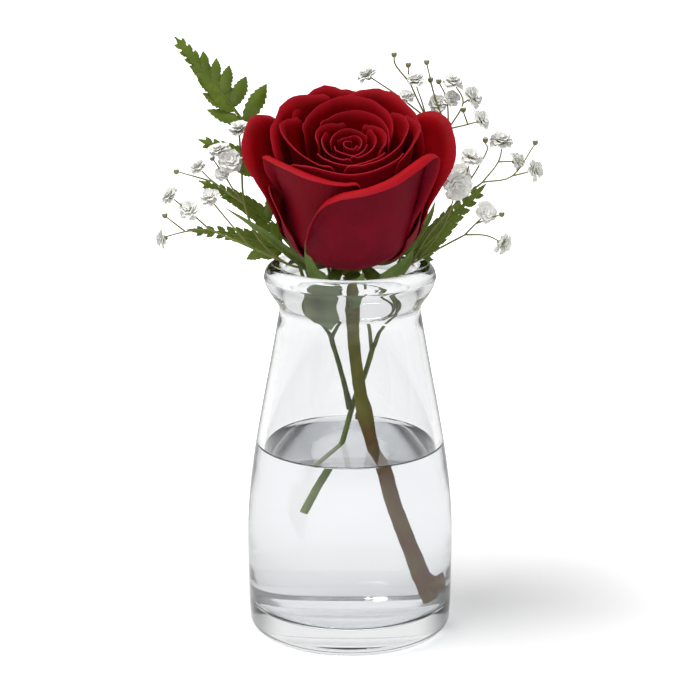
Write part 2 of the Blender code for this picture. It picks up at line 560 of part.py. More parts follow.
def make_sprays(material):
    spray("spray_right_upper",
          [[(7.0, 9.4, 113.0), (16.5, 13.6, 127.0), (21.6, 13.4, 141.0), (28.6, 14.0, 160.0), (33.6, 11.4, 175.0)],
           [(28.6, 14.0, 160.0), (26.0, 14.4, 178.4), (22.2, 12.4, 190.6)],
           [(26.0, 14.4, 178.4), (20.6, 15.4, 190.0), (19.8, 14.4, 196.0)],
           [(20.6, 15.4, 190.0), (15.6, 16.4, 196.0), (15.0, 16.4, 199.4)],
           [(26.0, 14.4, 178.4), (16.0, 15.6, 186.0), (5.9, 14.3, 192.9)],
           [(33.6, 11.4, 175.0), (29.4, 12.6, 184.0), (26.0, 12.4, 197.2)],
           [(29.4, 12.6, 184.0), (27.4, 14.6, 190.6)],
           [(33.6, 11.4, 175.0), (33.0, 12.6, 184.6), (30.4, 14.0, 190.4)],
           [(33.6, 11.4, 175.0), (38.4, 10.4, 184.0), (35.4, 12.0, 190.4)],
           [(38.4, 10.4, 184.0), (41.6, 10.2, 186.0)],
           [(33.6, 11.4, 175.0), (40.0, 8.6, 177.0), (44.4, 6.8, 178.6)],
           [(40.0, 8.6, 177.0), (38.4, 8.4, 181.4)]],
          [((22.0, 12.2, 192.4), (-0.2, -0.3, 1.0)), ((5.2, 14.2, 194.0), (-0.6, -0.2, 1.0)),
           ((35.0, 12.2, 191.8), (0.1, -0.4, 1.0)), ((42.4, 9.8, 186.8), (0.6, -0.4, 0.6)),
           ((45.2, 6.2, 179.6), (0.7, -0.5, 0.6))],
          [(19.8, 14.4, 196.6), (15.0, 16.4, 199.8), (26.0, 12.4, 197.8), (27.4, 14.8, 191.4),
           (30.2, 14.0, 191.0), (38.4, 8.2, 182.2)], material)
    spray("spray_right_middle",
          [[(9.6, 5.0, 113.6), (20.9, 5.2, 129.4), (27.0, 6.6, 139.4), (36.0, 6.0, 150.0), (45.0, 3.6, 158.0)],
           [(36.0, 6.0, 150.0), (46.0, 6.6, 167.0), (46.0, 7.6, 171.0)],
           [(45.0, 3.6, 158.0), (50.4, 6.0, 164.6), (52.0, 8.4, 171.0)],
           [(50.4, 6.0, 164.6), (56.0, 4.6, 165.0)],
           [(45.0, 3.6, 158.0), (55.0, 2.6, 160.4), (62.6, 5.6, 170.6)],
           [(55.0, 2.6, 160.4), (62.0, 0.4, 162.6)],
           [(36.0, 6.0, 150.0), (39.4, 5.4, 160.0), (41.0, 4.4, 166.0)]],
          [((51.6, 8.2, 172.4), (0.1, -0.4, 1.0)), ((57.4, 4.2, 165.6), (0.8, -0.4, 0.4)),
           ((63.2, 0.0, 163.2), (0.8, -0.5, 0.3)), ((41.4, 4.0, 167.4), (0.2, -0.6, 0.8))],
          [(46.0, 7.8, 171.8), (62.8, 5.8, 171.4)], material)
    spray("spray_right_low",
          [[(11.0, 1.6, 114.0), (16.6, 1.4, 126.4), (23.6, 1.8, 131.6), (39.0, -2.0, 141.0)],
           [(39.0, -2.0, 141.0), (46.0, -5.0, 141.4), (51.4, -7.6, 139.4)],
           [(39.0, -2.0, 141.0), (42.6, -2.6, 145.0), (46.0, -3.8, 148.6)],
           [(42.6, -2.6, 145.0), (50.4, -4.6, 148.4)],
           [(23.6, 1.8, 131.6), (32.0, 0.4, 144.0), (36.0, -3.4, 157.6)]],
          [((52.4, -8.2, 138.8), (0.8, -0.6, -0.2)), ((46.4, -4.2, 149.4), (0.2, -1.0, 0.4)),
           ((36.2, -5.0, 158.0), (0.0, -1.0, 0.1))],
          [(51.2, -4.8, 148.8)], material)
    spray("spray_left_upper",
          [[(-4.4, 0.6, 113.6), (-9.0, 3.6, 126.0), (-21.5, 4.4, 129.4), (-31.0, 4.0, 138.0),
            (-36.0, 5.6, 150.0), (-37.0, 8.4, 163.0), (-37.8, 10.0, 174.6)],
           [(-36.0, 5.6, 150.0), (-41.6, 6.4, 158.0), (-44.6, 8.0, 167.6)],
           [(-37.0, 8.4, 163.0), (-39.0, 7.8, 164.0), (-40.4, 6.2, 165.0)],
           [(-36.0, 5.6, 150.0), (-46.6, 6.6, 157.6), (-51.4, 7.8, 162.0)],
           [(-46.6, 6.6, 157.6), (-58.6, 7.0, 161.0)],
           [(-41.6, 6.4, 158.0), (-46.6, 8.2, 165.0)]],
          [((-38.0, 10.0, 176.0), (-0.1, -0.4, 1.0)), ((-45.0, 8.0, 169.0), (-0.3, -0.4, 1.0)),
           ((-40.6, 5.8, 165.4), (0.1, -0.8, 0.5)), ((-52.2, 8.0, 163.2), (-0.5, -0.3, 0.8))],
          [(-59.2, 7.0, 161.2), (-47.0, 8.4, 165.6)], material)
    spray("spray_left_low",
          [[(-7.6, -2.6, 114.0), (-12.6, 0.0, 126.6), (-21.3, 0.4, 130.3), (-34.0, 1.0, 136.0), (-48.0, 2.4, 142.0)],
           [(-48.0, 2.4, 142.0), (-52.0, 2.8, 145.6), (-54.4, 3.0, 148.0)],
           [(-52.0, 2.8, 145.6), (-61.0, 3.8, 153.0)],
           [(-48.0, 2.4, 142.0), (-56.0, 1.2, 141.4), (-63.6, 0.2, 139.6)],
           [(-56.0, 1.2, 141.4), (-62.6, 2.0, 146.4)],
           [(-34.0, 1.0, 136.0), (-44.0, 3.6, 147.6), (-47.6, 4.8, 152.0)]],
          [((-55.0, 3.0, 149.2), (-0.3, -0.7, 0.6)), ((-62.0, 4.0, 154.0), (-0.6, -0.3, 0.7)),
           ((-64.8, 0.0, 139.2), (-1.0, -0.3, 0.0)), ((-48.0, 4.8, 153.2), (-0.2, -0.6, 0.8))],
          [(-63.0, 2.0, 147.0)], material)


def main():
    clear_scene()
    glass = make_material("glass", (0.95, 0.97, 0.97), 0.02, transmission=1.0)
    water = make_material("water", (0.92, 0.95, 0.97), 0.02, transmission=1.0)
    red = make_material("petal_red", (0.42, 0.004, 0.02), 0.55)
    olive = make_material("stem_olive", (0.22, 0.20, 0.05), 0.5)
    green = make_material("sepal_green", (0.13, 0.20, 0.04), 0.5)
    dark = make_material("fern_green", (0.05, 0.16, 0.015), 0.5)
    white = make_material("blossom_white", (0.82, 0.82, 0.74), 0.6)
    make_vase(glass)
    make_water(water)
    make_rose_stem(olive)
    make_stalks(dark)
    for index, spec in enumerate(PETALS, start=1):
        petal_solid(index, spec, red)
    make_sepals(green)
    make_neck_leaf(green)
    make_fern(dark)
    make_sprays(white)


main()
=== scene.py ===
import math
import random

import bmesh
import bpy
from bpy.props import FloatProperty, FloatVectorProperty, IntProperty, PointerProperty
from mathutils import Matrix, Vector, noise


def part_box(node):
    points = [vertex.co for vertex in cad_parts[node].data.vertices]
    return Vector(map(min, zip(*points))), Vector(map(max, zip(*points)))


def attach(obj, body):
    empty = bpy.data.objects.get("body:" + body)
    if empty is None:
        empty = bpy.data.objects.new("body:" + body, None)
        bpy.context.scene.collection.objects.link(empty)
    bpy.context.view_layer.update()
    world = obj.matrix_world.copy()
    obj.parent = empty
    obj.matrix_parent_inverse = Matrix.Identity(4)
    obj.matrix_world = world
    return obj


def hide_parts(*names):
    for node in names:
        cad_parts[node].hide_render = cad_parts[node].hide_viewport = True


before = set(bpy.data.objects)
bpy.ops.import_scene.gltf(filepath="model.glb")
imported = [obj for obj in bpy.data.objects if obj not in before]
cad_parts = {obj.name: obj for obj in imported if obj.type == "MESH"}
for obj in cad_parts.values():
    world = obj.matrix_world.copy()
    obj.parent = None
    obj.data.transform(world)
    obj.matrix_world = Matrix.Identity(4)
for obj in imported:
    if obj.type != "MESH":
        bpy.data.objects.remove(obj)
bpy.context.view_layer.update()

bl_info = {
    "name": "Rose in a Bud Vase",
    "version": (1, 0, 0),
    "blender": (4, 5, 0),
    "location": "View3D > Sidebar > Rose Vase",
    "description": "Builds a cut rose with fern and filler flowers in a glass bottle vase",
    "category": "Object",
}

MM = 0.001
VASE_LOW, VASE_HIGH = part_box("vase")
VASE_HEIGHT = VASE_HIGH[2] / MM
BODY_RADIUS = (VASE_HIGH[0] - VASE_LOW[0]) / 2 / MM
WATER_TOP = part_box("water")[1][2] / MM

# The vase's own measures, in millimetres
FOOT_RADIUS = 30.6
FOOT_RISE = 4.8
SHOULDER_START = 34.0
NECK_RADIUS = 24.3
NECK_HEIGHT = 114.5
LIP_RADIUS = 29.4
LIP_BULGE_HEIGHT = 126.4
MOUTH_RADIUS = 22.8
BASE_THICKNESS = 8.4
WALL = 3.1
LIP_START = 1.6
LIP_TURN_IN = 3.4
MOUTH_ROUNDING = (1.9, 2.6)

# How far the flat of the water lies below its CAD top, and how far it reaches into the glass
WATER_DROP = 0.7
WETTING = 0.12

# Refraction, and the share of light that shadows let through
GLASS_IOR = 1.5
GLASS_SHADE = 0.88
WATER_IOR = 1.333
WATER_SHADE = 0.97

# Where the rose sits and how its bowl of petals is shaped
HEAD_BASE = Vector((0.0, 2.0, 132.6))
HEAD_TILT = math.radians(25.0)
HEAD_AXIS = Vector((0.0, -math.sin(HEAD_TILT), math.cos(HEAD_TILT)))
HEAD_REAR = Vector((0.0, math.cos(HEAD_TILT), math.sin(HEAD_TILT)))
BOWL_RADIUS = 25.0
BOWL_HEIGHT = 18.0
CLAW_SPREAD = 52.0

# Radians are stretched by this while a petal's edge is spaced out evenly
MARGIN_SPREAD = 20.0

# Where the painted rim highlight and the painted shade towards the margin begin, as a share of the way
# from claw to edge
RIM_HIGHLIGHT_START = 0.965
RIM_HIGHLIGHT_SPAN = 0.035
MARGIN_SHADE_START = 0.62
MARGIN_SHADE_SPAN = 0.34
MARGIN_SHADE_FADE = 1.5

# Petals rolled by this many degrees or more get no painted shade towards the margin
ROLLED_OVER = 120

# Millimetres above the claw over which a petal opens to its full width
OPENING_LENGTH = 14.0

# Ruffle noise per millimetre: slow waves and fine ripples
WAVE_SCALE = 0.11
RIPPLE_SCALE = 0.34

# Steps along a petal's section: in the bowl, up to the roll, and round the roll
BOWL_STEPS = 14
RISE_STEPS = 20
ROLL_STEPS = 16


def colour(name, description, value):
    return FloatVectorProperty(name=name, description=description, subtype="COLOR", size=3, default=value)


class RoseVaseGlassSettings(bpy.types.PropertyGroup):
    segments: IntProperty(name="Segments", description="Steps round the turned glass",
                          default=128, min=32, max=256)
    glass_tint: colour("Glass Tint", "Colour of the glass", (0.962, 0.968, 0.972))
    water_tint: colour("Water Tint", "Colour of the water", (0.975, 0.985, 0.995))
    mould_line: FloatProperty(name="Mould Line", description="Height of the ridge round the lip, in mm",
                              default=0.28, min=0.0, max=1.0)


class RoseVasePetalSettings(bpy.types.PropertyGroup):
    columns: IntProperty(name="Columns", description="Grid columns on a petal",
                         default=44, min=12, max=96)
    rows: IntProperty(name="Rows", description="Grid rows on a petal", default=34, min=12, max=96)
    thickness: FloatProperty(name="Thickness", description="Petal thickness in mm",
                             default=0.38, min=0.1, max=1.0)
    inner_red: colour("Inner Red", "Colour of the inner faces", (0.36, 0.0003, 0.004))
    outer_red: colour("Outer Red", "Colour of the outer faces", (0.165, 0.0012, 0.011))
    # Rim Pink is a painted highlight: the thin lighter pink line along each petal's edge stands in for
    # light catching the velvet
    rim_highlight_pink: colour("Rim Pink", "Colour of the thin rims", (0.30, 0.005, 0.014))


class RoseVaseGreenSettings(bpy.types.PropertyGroup):
    fern: colour("Fern", "Colour of the fern leaflets", (0.085, 0.135, 0.006))
    sepal: colour("Sepal", "Colour of the sepals", (0.10, 0.165, 0.03))
    stem: colour("Stem", "Colour of the young stem", (0.15, 0.145, 0.012))
    bark: colour("Bark", "Colour of the older stem", (0.12, 0.034, 0.004))


class RoseVaseSpraySettings(bpy.types.PropertyGroup):
    white: colour("White", "Colour of the small flowers", (0.80, 0.80, 0.76))
    calyx: colour("Calyx", "Colour of calyxes and buds", (0.25, 0.27, 0.09))
    stalk: colour("Stalk", "Colour of the thin stalks", (0.12, 0.14, 0.035))


class RoseVaseStageSettings(bpy.types.PropertyGroup):
    distance: FloatProperty(name="View Distance", description="From the camera to the vase",
                            default=0.8, unit="LENGTH")
    elevation: FloatProperty(name="View Elevation", description="Camera height angle",
                             default=math.radians(15.0), subtype="ANGLE")
    aim: FloatProperty(name="Aim Height", description="Height the camera looks at",
                       default=0.1, unit="LENGTH")
    lens: FloatProperty(name="Lens", description="Focal length in mm", default=119.4)


SETTINGS = {
    "rose_vase_glass": RoseVaseGlassSettings,
    "rose_vase_petal": RoseVasePetalSettings,
    "rose_vase_green": RoseVaseGreenSettings,
    "rose_vase_spray": RoseVaseSpraySettings,
    "rose_vase_stage": RoseVaseStageSettings,
}


# Shared modelling helpers


def keep_piece(name, bm, materials, nodes, angle=60):
    """Scale a bmesh from millimetres, give it its materials and fix it to the frame."""
    bmesh.ops.scale(bm, vec=(MM, MM, MM), verts=bm.verts)
    mesh = bpy.data.meshes.new(name)
    bm.to_mesh(mesh)
    bm.free()
    mesh.shade_smooth()
    mesh.set_sharp_from_angle(angle=math.radians(angle))
    for material in materials:
        mesh.materials.append(material)
    piece = bpy.data.objects.new(name, mesh)
    bpy.context.scene.collection.objects.link(piece)
    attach(piece, "root")
    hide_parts(*nodes)


def smooth_path(points, steps):
    """Points on a Catmull-Rom curve through the given points."""
    knots = [Vector(p) for p in points]
    if len(knots) < 3:
        return [knots[0].lerp(knots[-1], i / steps) for i in range(steps + 1)]
    ends = [knots[0] * 2 - knots[1]] + knots + [knots[-1] * 2 - knots[-2]]
    curve = []
    for i in range(1, len(ends) - 2):
        a, b, c, d = ends[i - 1:i + 3]
        for step in range(steps):
            t = step / steps
            curve.append(0.5 * ((2 * b) + (c - a) * t + (2 * a - 5 * b + 4 * c - d) * t ** 2
                                + (3 * b - a - 3 * c + d) * t ** 3))
    curve.append(knots[-1])
    return curve


def spread_values(values, count):
    """Values given at even places along a path, read at `count` places."""
    result = []
    for i in range(count):
        place = i / (count - 1) * (len(values) - 1)
        low = min(int(place), len(values) - 2)
        share = place - low
        share = share * share * (3 - 2 * share)
        result.append(values[low] + (values[low + 1] - values[low]) * share)
    return result


def sweep_stalk(bm, points, radii, sides=10, steps=6, across=Vector((1.0, 0.0, 0.0)),
                material_index=0, knobble=0.0):
    """Extrude a ring along a smooth path; the ends are closed."""
    path = smooth_path(points, steps)
    sizes = spread_values(radii, len(path))
    face = None
    start = len(bm.faces)
    for i, point in enumerate(path):
        tangent = (path[min(i + 1, len(path) - 1)] - path[max(i - 1, 0)]).normalized()
        side = (across - tangent * across.dot(tangent)).normalized()
        up = tangent.cross(side)
        ring = []
        for k in range(sides):
            turn = 2 * math.pi * (k + 0.5) / sides
            out = side * math.cos(turn) + up * math.sin(turn)
            wobble = 1.0 + knobble * noise.noise((point + out * sizes[i]) * 0.35)
            ring.append(point + out * sizes[i] * wobble)
        if face is None:
            face = bm.faces.new([bm.verts.new(co) for co in ring])
            face.material_index = material_index
            continue
        grown = bmesh.ops.extrude_face_region(bm, geom=[face, *face.edges, *face.verts])
        face = [item for item in grown["geom"] if isinstance(item, bmesh.types.BMFace)][0]
        for vert, co in zip(face.verts, ring):
            vert.co = co
    bm.faces.ensure_lookup_table()
    fresh = bm.faces[start:]
    for item in fresh:
        item.material_index = material_index
        item.smooth = True
    bmesh.ops.recalc_face_normals(bm, faces=fresh)


def give_thickness(bm, faces, thickness):
    """Turn an open sheet into a thin closed wall; returns the new side's vertices."""
    bmesh.ops.recalc_face_normals(bm, faces=faces)
    bm.normal_update()
    verts = {vert for face in faces for vert in face.verts}
    edges = {edge for face in faces for edge in face.edges}
    grown = bmesh.ops.extrude_face_region(bm, geom=[*faces, *edges, *verts], use_keep_orig=True)
    fresh = [item for item in grown["geom"] if isinstance(item, bmesh.types.BMVert)]
    for vert in fresh:
        vert.co += vert.normal * thickness
    return fresh


def sweep_leaf(bm, points, half_width, normal, steps=5, columns=4, teeth=0, tooth=0.0,
               fullness=0.75, fold=0.22, thickness=0.22, base=0.12, material_index=0):
    """A leaf or leaflet: a strip along a path with a folded midrib and toothed edges."""
    path = smooth_path(points, steps)
    rows = len(path) - 1
    made = bmesh.ops.create_grid(bm, x_segments=columns, y_segments=rows, size=1.0)
    verts = made["verts"]
    uv_layer = bm.loops.layers.uv.verify()
    faces = {face for vert in verts for face in vert.link_faces}
    for face in faces:
        face.material_index = material_index
        face.smooth = True
        for loop in face.loops:
            loop[uv_layer].uv = (loop.vert.co.x * 0.5 + 0.5, loop.vert.co.y * 0.5 + 0.5)
    for vert in verts:
        u = vert.co.x
        place = (vert.co.y + 1.0) / 2.0 * rows
        i = min(int(round(place)), rows)
        t = i / rows
        point = path[i]
        tangent = (path[min(i + 1, rows)] - path[max(i - 1, 0)]).normalized()
        side = normal.cross(tangent).normalized()
        face_up = tangent.cross(side).normalized()
        swell = math.sin(math.pi * t ** fullness)
        width = half_width * (base * (1 - t) + (1 - base * (1 - t)) * swell)
        if teeth:
            bite = (t * teeth) % 1.0
            width *= 1.0 - tooth * bite * (1.0 if 0.08 < t < 0.97 else 0.0)
        lift = -fold * abs(u) * width
        lift += 0.10 * width * noise.noise(Vector((u * 1.3, t * 3.1, half_width * 7.7)))
        vert.co = point + side * u * width + face_up * lift
    give_thickness(bm, list(faces), thickness)


def turned(profile, segments):
    """Spin an (r, z) profile about Z and close it on the axis."""
    bm = bmesh.new()
    verts = [bm.verts.new((r, 0.0, z)) for r, z in profile]
    edges = [bm.edges.new(pair) for pair in zip(verts, verts[1:])]
    bmesh.ops.spin(bm, geom=verts + edges, axis=(0, 0, 1), cent=(0, 0, 0),
                   angle=2 * math.pi, steps=segments, use_merge=True)
    bmesh.ops.remove_doubles(bm, verts=bm.verts, dist=0.0005)
    bmesh.ops.recalc_face_normals(bm, faces=bm.faces)
    return bm


# Materials

OLIVE = (0.12, 0.105, 0.006)
GREY_GREEN = (0.13, 0.18, 0.09)
FERN_PALE = (0.16, 0.21, 0.022)
BUD_OLIVE = (0.15, 0.14, 0.05)
BUD_PALE = (0.36, 0.34, 0.18)


def new_material(name):
    material = bpy.data.materials.new(name)
    material.use_nodes = True
    tree = material.node_tree
    shader = tree.nodes["Principled BSDF"]
    return material, tree, shader


def add_node(tree, kind, **values):
    node = tree.nodes.new(kind)
    for key, value in values.items():
        setattr(node, key, value)
    return node


def wire(tree, *joins):
    """Join sockets; each join is (from node, output, to node, input)."""
    for source, output, target, entry in joins:
        tree.links.new(source.outputs[output], target.inputs[entry])


def set_inputs(node, values):
    """Set plain values on a node's own sockets."""
    for key, value in values.items():
        node.inputs[key].default_value = value


def mottle_group():
    """Soft living-tissue variation: two tones and a fine relief, from object coordinates."""
    group = bpy.data.node_groups.get("Living Tissue")
    if group:
        return group
    group = bpy.data.node_groups.new("Living Tissue", "ShaderNodeTree")
    face = group.interface
    for name, kind, value in (("Base", "NodeSocketColor", (0.5, 0.5, 0.5, 1)),
                              ("Shade", "NodeSocketColor", (0.2, 0.2, 0.2, 1)),
                              ("Scale", "NodeSocketFloat", 120.0),
                              ("Amount", "NodeSocketFloat", 0.5)):
        socket = face.new_socket(name=name, in_out="INPUT", socket_type=kind)
        socket.default_value = value
    face.new_socket(name="Color", in_out="OUTPUT", socket_type="NodeSocketColor")
    face.new_socket(name="Height", in_out="OUTPUT", socket_type="NodeSocketFloat")
    entry = group.nodes.new("NodeGroupInput")
    leave = group.nodes.new("NodeGroupOutput")
    place = group.nodes.new("ShaderNodeTexCoord")
    cloud = add_node(group, "ShaderNodeTexNoise")
    cloud.inputs["Detail"].default_value = 4.0
    fine = add_node(group, "ShaderNodeTexNoise")
    set_inputs(fine, {"Scale": 1400.0, "Detail": 3.0})
    level = add_node(group, "ShaderNodeMapRange")
    set_inputs(level, {"From Min": 0.35, "From Max": 0.68})
    share = add_node(group, "ShaderNodeMath", operation="MULTIPLY")
    mix = add_node(group, "ShaderNodeMix", data_type="RGBA")
    wire(group, (place, "Object", cloud, "Vector"), (place, "Object", fine, "Vector"),
         (entry, "Scale", cloud, "Scale"), (cloud, "Fac", level, "Value"),
         (level, "Result", share, 0), (entry, "Amount", share, 1), (share, 0, mix, "Factor"),
         (entry, "Base", mix, "A"), (entry, "Shade", mix, "B"), (mix, "Result", leave, "Color"),
         (fine, "Fac", leave, "Height"))
    return group


def tissue(tree, base, shade, scale, amount):
    node = tree.nodes.new("ShaderNodeGroup")
    node.node_tree = mottle_group()
    set_inputs(node, {"Base": (*base, 1.0), "Shade": (*shade, 1.0), "Scale": scale,
                      "Amount": amount})
    return node


def add_bump(tree, shader, height, strength, distance):
    bump = tree.nodes.new("ShaderNodeBump")
    set_inputs(bump, {"Strength": strength, "Distance": distance})
    tree.links.new(height, bump.inputs["Height"])
    wire(tree, (bump, "Normal", shader, "Normal"))


def darker(colour, factor):
    return tuple(channel * factor for channel in colour)


def clear_material(name, tint, ior, shade):
    """Clear glass or water that lets light through to what stands behind it."""
    material, tree, shader = new_material(name)
    shader.inputs["Base Color"].default_value = (*tint, 1.0)
    shader.inputs["Roughness"].default_value = 0.0
    shader.inputs["IOR"].default_value = ior
    shader.inputs["Transmission Weight"].default_value = 1.0
    output = tree.nodes["Material Output"]
    path = tree.nodes.new("ShaderNodeLightPath")
    through = tree.nodes.new("ShaderNodeBsdfTransparent")
    through.inputs["Color"].default_value = (*darker(tint, shade), 1.0)
    mix = tree.nodes.new("ShaderNodeMixShader")
    wire(tree, (path, "Is Shadow Ray", mix, "Fac"), (shader, "BSDF", mix, 1),
         (through, "BSDF", mix, 2), (mix, "Shader", output, "Surface"))
    return material


def petal_material(settings):
    """Velvet red: brighter inside with painted shade darkening it towards the edge, duller outside, with a
    painted highlight as a thin pink line on the rim.
    """
    material, tree, shader = new_material("petal velvet")
    inner = tissue(tree, settings.inner_red, darker(settings.inner_red, 0.62), 90.0, 0.55)
    outer = tissue(tree, settings.outer_red, darker(settings.outer_red, 0.62), 110.0, 0.6)
    side = add_node(tree, "ShaderNodeAttribute", attribute_name="outer")
    # These attributes mask a painted highlight along each petal's rim and painted shade darkening the
    # inner face towards its margin
    edge = add_node(tree, "ShaderNodeAttribute", attribute_name="rim_highlight")
    sides = add_node(tree, "ShaderNodeMix", data_type="RGBA")
    rim_highlights = add_node(tree, "ShaderNodeMix", data_type="RGBA")
    margin_shade_mask = add_node(tree, "ShaderNodeAttribute", attribute_name="margin_shade")
    patch = add_node(tree, "ShaderNodeTexNoise")
    patch.inputs["Scale"].default_value = 60.0
    patches = add_node(tree, "ShaderNodeMapRange")
    set_inputs(patches, {"From Min": 0.35, "From Max": 0.65, "To Min": 0.35, "To Max": 0.9})
    place = add_node(tree, "ShaderNodeTexCoord")
    share = add_node(tree, "ShaderNodeMath", operation="MULTIPLY")
    # Painted shade: the inner red darkens towards the petal's margin, broken into patches by noise
    shaded = add_node(tree, "ShaderNodeMix", data_type="RGBA")
    shaded.inputs["B"].default_value = (*darker(settings.inner_red, 0.38), 1.0)
    # Painted highlight: a thin pink line along the petal's edge
    rim_highlights.inputs["B"].default_value = (*settings.rim_highlight_pink, 1.0)
    spread = add_node(tree, "ShaderNodeUVMap", uv_map="UVMap")
    stretch = add_node(tree, "ShaderNodeMapping")
    stretch.inputs["Scale"].default_value = (70.0, 5.0, 1.0)
    veins = add_node(tree, "ShaderNodeTexNoise")
    set_inputs(veins, {"Scale": 1.0, "Detail": 4.0})
    wire(tree, (side, "Fac", sides, "Factor"), (place, "Object", patch, "Vector"),
         (patch, "Fac", patches, "Value"), (patches, "Result", share, 0),
         (margin_shade_mask, "Fac", share, 1), (share, 0, shaded, "Factor"), (inner, "Color", shaded, "A"),
         (shaded, "Result", sides, "A"), (outer, "Color", sides, "B"),
         (edge, "Fac", rim_highlights, "Factor"), (sides, "Result", rim_highlights, "A"),
         (rim_highlights, "Result", shader, "Base Color"), (spread, "UV", stretch, "Vector"),
         (stretch, "Vector", veins, "Vector"))
    add_bump(tree, shader, veins.outputs["Fac"], 0.4, 0.0006)
    shader.inputs["Roughness"].default_value = 0.62
    shader.inputs["Specular IOR Level"].default_value = 0.09
    shader.inputs["Sheen Weight"].default_value = 0.025
    shader.inputs["Sheen Roughness"].default_value = 0.35
    shader.inputs["Sheen Tint"].default_value = (1.0, 0.30, 0.40, 1.0)
    return material


def leaf_material(name, colour, roughness=0.42, scale=160.0, pale=None):
    """A leaf or petal face with paler blotches and a faint relief."""
    material, tree, shader = new_material(name)
    pale = pale or (colour[0] * 1.9 + 0.015, colour[1] * 1.5 + 0.01, colour[2] * 1.3)
    tone = tissue(tree, colour, pale, scale, 0.55)
    wire(tree, (tone, "Color", shader, "Base Color"))
    add_bump(tree, shader, tone.outputs["Height"], 0.18, 0.0003)
    shader.inputs["Roughness"].default_value = roughness
    shader.inputs["Specular IOR Level"].default_value = 0.4
    return material


def stem_material(settings):
    """Young green-yellow stem above, brown and woody towards the cut end."""
    material, tree, shader = new_material("rose stem")
    young = tissue(tree, settings.stem, darker(settings.stem, 0.6), 140.0, 0.6)
    old = tissue(tree, settings.bark, OLIVE, 110.0, 0.75)
    place = add_node(tree, "ShaderNodeTexCoord")
    split = add_node(tree, "ShaderNodeSeparateXYZ")
    band = add_node(tree, "ShaderNodeMapRange", interpolation_type="SMOOTHSTEP")
    set_inputs(band, {"From Min": 0.082, "From Max": 0.070})
    mix = add_node(tree, "ShaderNodeMix", data_type="RGBA")
    wire(tree, (place, "Object", split, "Vector"), (split, "Z", band, "Value"),
         (band, "Result", mix, "Factor"), (young, "Color", mix, "A"), (old, "Color", mix, "B"),
         (mix, "Result", shader, "Base Color"))
    add_bump(tree, shader, old.outputs["Height"], 0.25, 0.0004)
    shader.inputs["Roughness"].default_value = 0.5
    shader.inputs["Specular IOR Level"].default_value = 0.1
    return material


# Vase and water


def shoulder(t):
    """How far the wall has drawn in, from the body (0) to the neck (1)."""
    return min(1.0, 0.42 * t ** 2 * (3 - 2 * t) + 0.58 * t ** 1.9)


def outer_profile(mould_line):
    """Foot to lip, outside: (r, z) points."""
    points = [(0.0, 0.9), (22.0, 0.9), (25.5, 0.5), (27.5, 0.05), (FOOT_RADIUS - 0.8, 0.0)]
    reach = BODY_RADIUS - 0.5 - FOOT_RADIUS
    for step in range(9):
        turn = math.radians(4 + 9.4 * step)
        points.append((FOOT_RADIUS + reach * math.sin(turn), FOOT_RISE * (1 - math.cos(turn))))
    for t in (0.25, 0.5, 0.75, 1.0):
        points.append((BODY_RADIUS - 0.35 + 0.35 * t, FOOT_RISE + (SHOULDER_START - FOOT_RISE) * t * 0.8))
    rise = NECK_HEIGHT - SHOULDER_START
    for step in range(1, 33):
        t = step / 32
        points.append((BODY_RADIUS - (BODY_RADIUS - NECK_RADIUS) * shoulder(t), SHOULDER_START + rise * t))
    swell = LIP_RADIUS - NECK_RADIUS
    climb = LIP_BULGE_HEIGHT - NECK_HEIGHT - LIP_START
    for step in range(13):
        t = step / 12
        points.append((NECK_RADIUS + 0.1 + (swell - 0.1) * math.sin(t * math.pi / 2) ** 1.25,
                       NECK_HEIGHT + LIP_START + climb * t))
    points[-1] = (LIP_RADIUS, LIP_BULGE_HEIGHT - 0.35)
    points.append((LIP_RADIUS + mould_line * 0.6, LIP_BULGE_HEIGHT))
    points.append((LIP_RADIUS - 0.05, LIP_BULGE_HEIGHT + 0.4))
    top = VASE_HEIGHT - LIP_BULGE_HEIGHT
    for step in range(2, 11):
        turn = math.radians(9 * step)
        points.append((LIP_RADIUS - LIP_TURN_IN * (1 - math.cos(turn)),
                       LIP_BULGE_HEIGHT + top * math.sin(turn)))
    return points


def inner_profile():
    """Mouth to floor, inside: (r, z) points."""
    points = []
    wide, deep = MOUTH_ROUNDING
    for step in range(1, 8):
        turn = math.radians(90 - step * 12.8)
        points.append((MOUTH_RADIUS + wide - wide * math.cos(turn),
                       VASE_HEIGHT - deep + deep * math.sin(turn)))
    top = MOUTH_RADIUS - 0.4
    points.append((top + 0.1, VASE_HEIGHT - 6.0))
    points.append((top, NECK_HEIGHT + 2.5))
    rise = NECK_HEIGHT - SHOULDER_START
    fall = BODY_RADIUS - WALL - top
    for step in range(31, -1, -1):
        t = step / 32
        points.append((BODY_RADIUS - WALL - fall * shoulder(t), SHOULDER_START + rise * t - 2.0))
    points.append((BODY_RADIUS - WALL - 0.1, BASE_THICKNESS + 12.0))
    for step in range(9):
        turn = math.radians(84 - 9.6 * step)
        points.append((BODY_RADIUS - WALL - 6.0 + 5.7 * math.sin(turn),
                       BASE_THICKNESS + 6.4 - 6.0 * math.cos(turn)))
    points.append((16.0, BASE_THICKNESS + 0.1))
    points.append((0.0, BASE_THICKNESS))
    return points


def make_vase(settings):
    bm = turned(outer_profile(settings.mould_line) + inner_profile(), settings.segments)
    glass = clear_material("vase glass", settings.glass_tint, GLASS_IOR, GLASS_SHADE)
    keep_piece("bottle_vase", bm, [glass], ["vase"], angle=40)


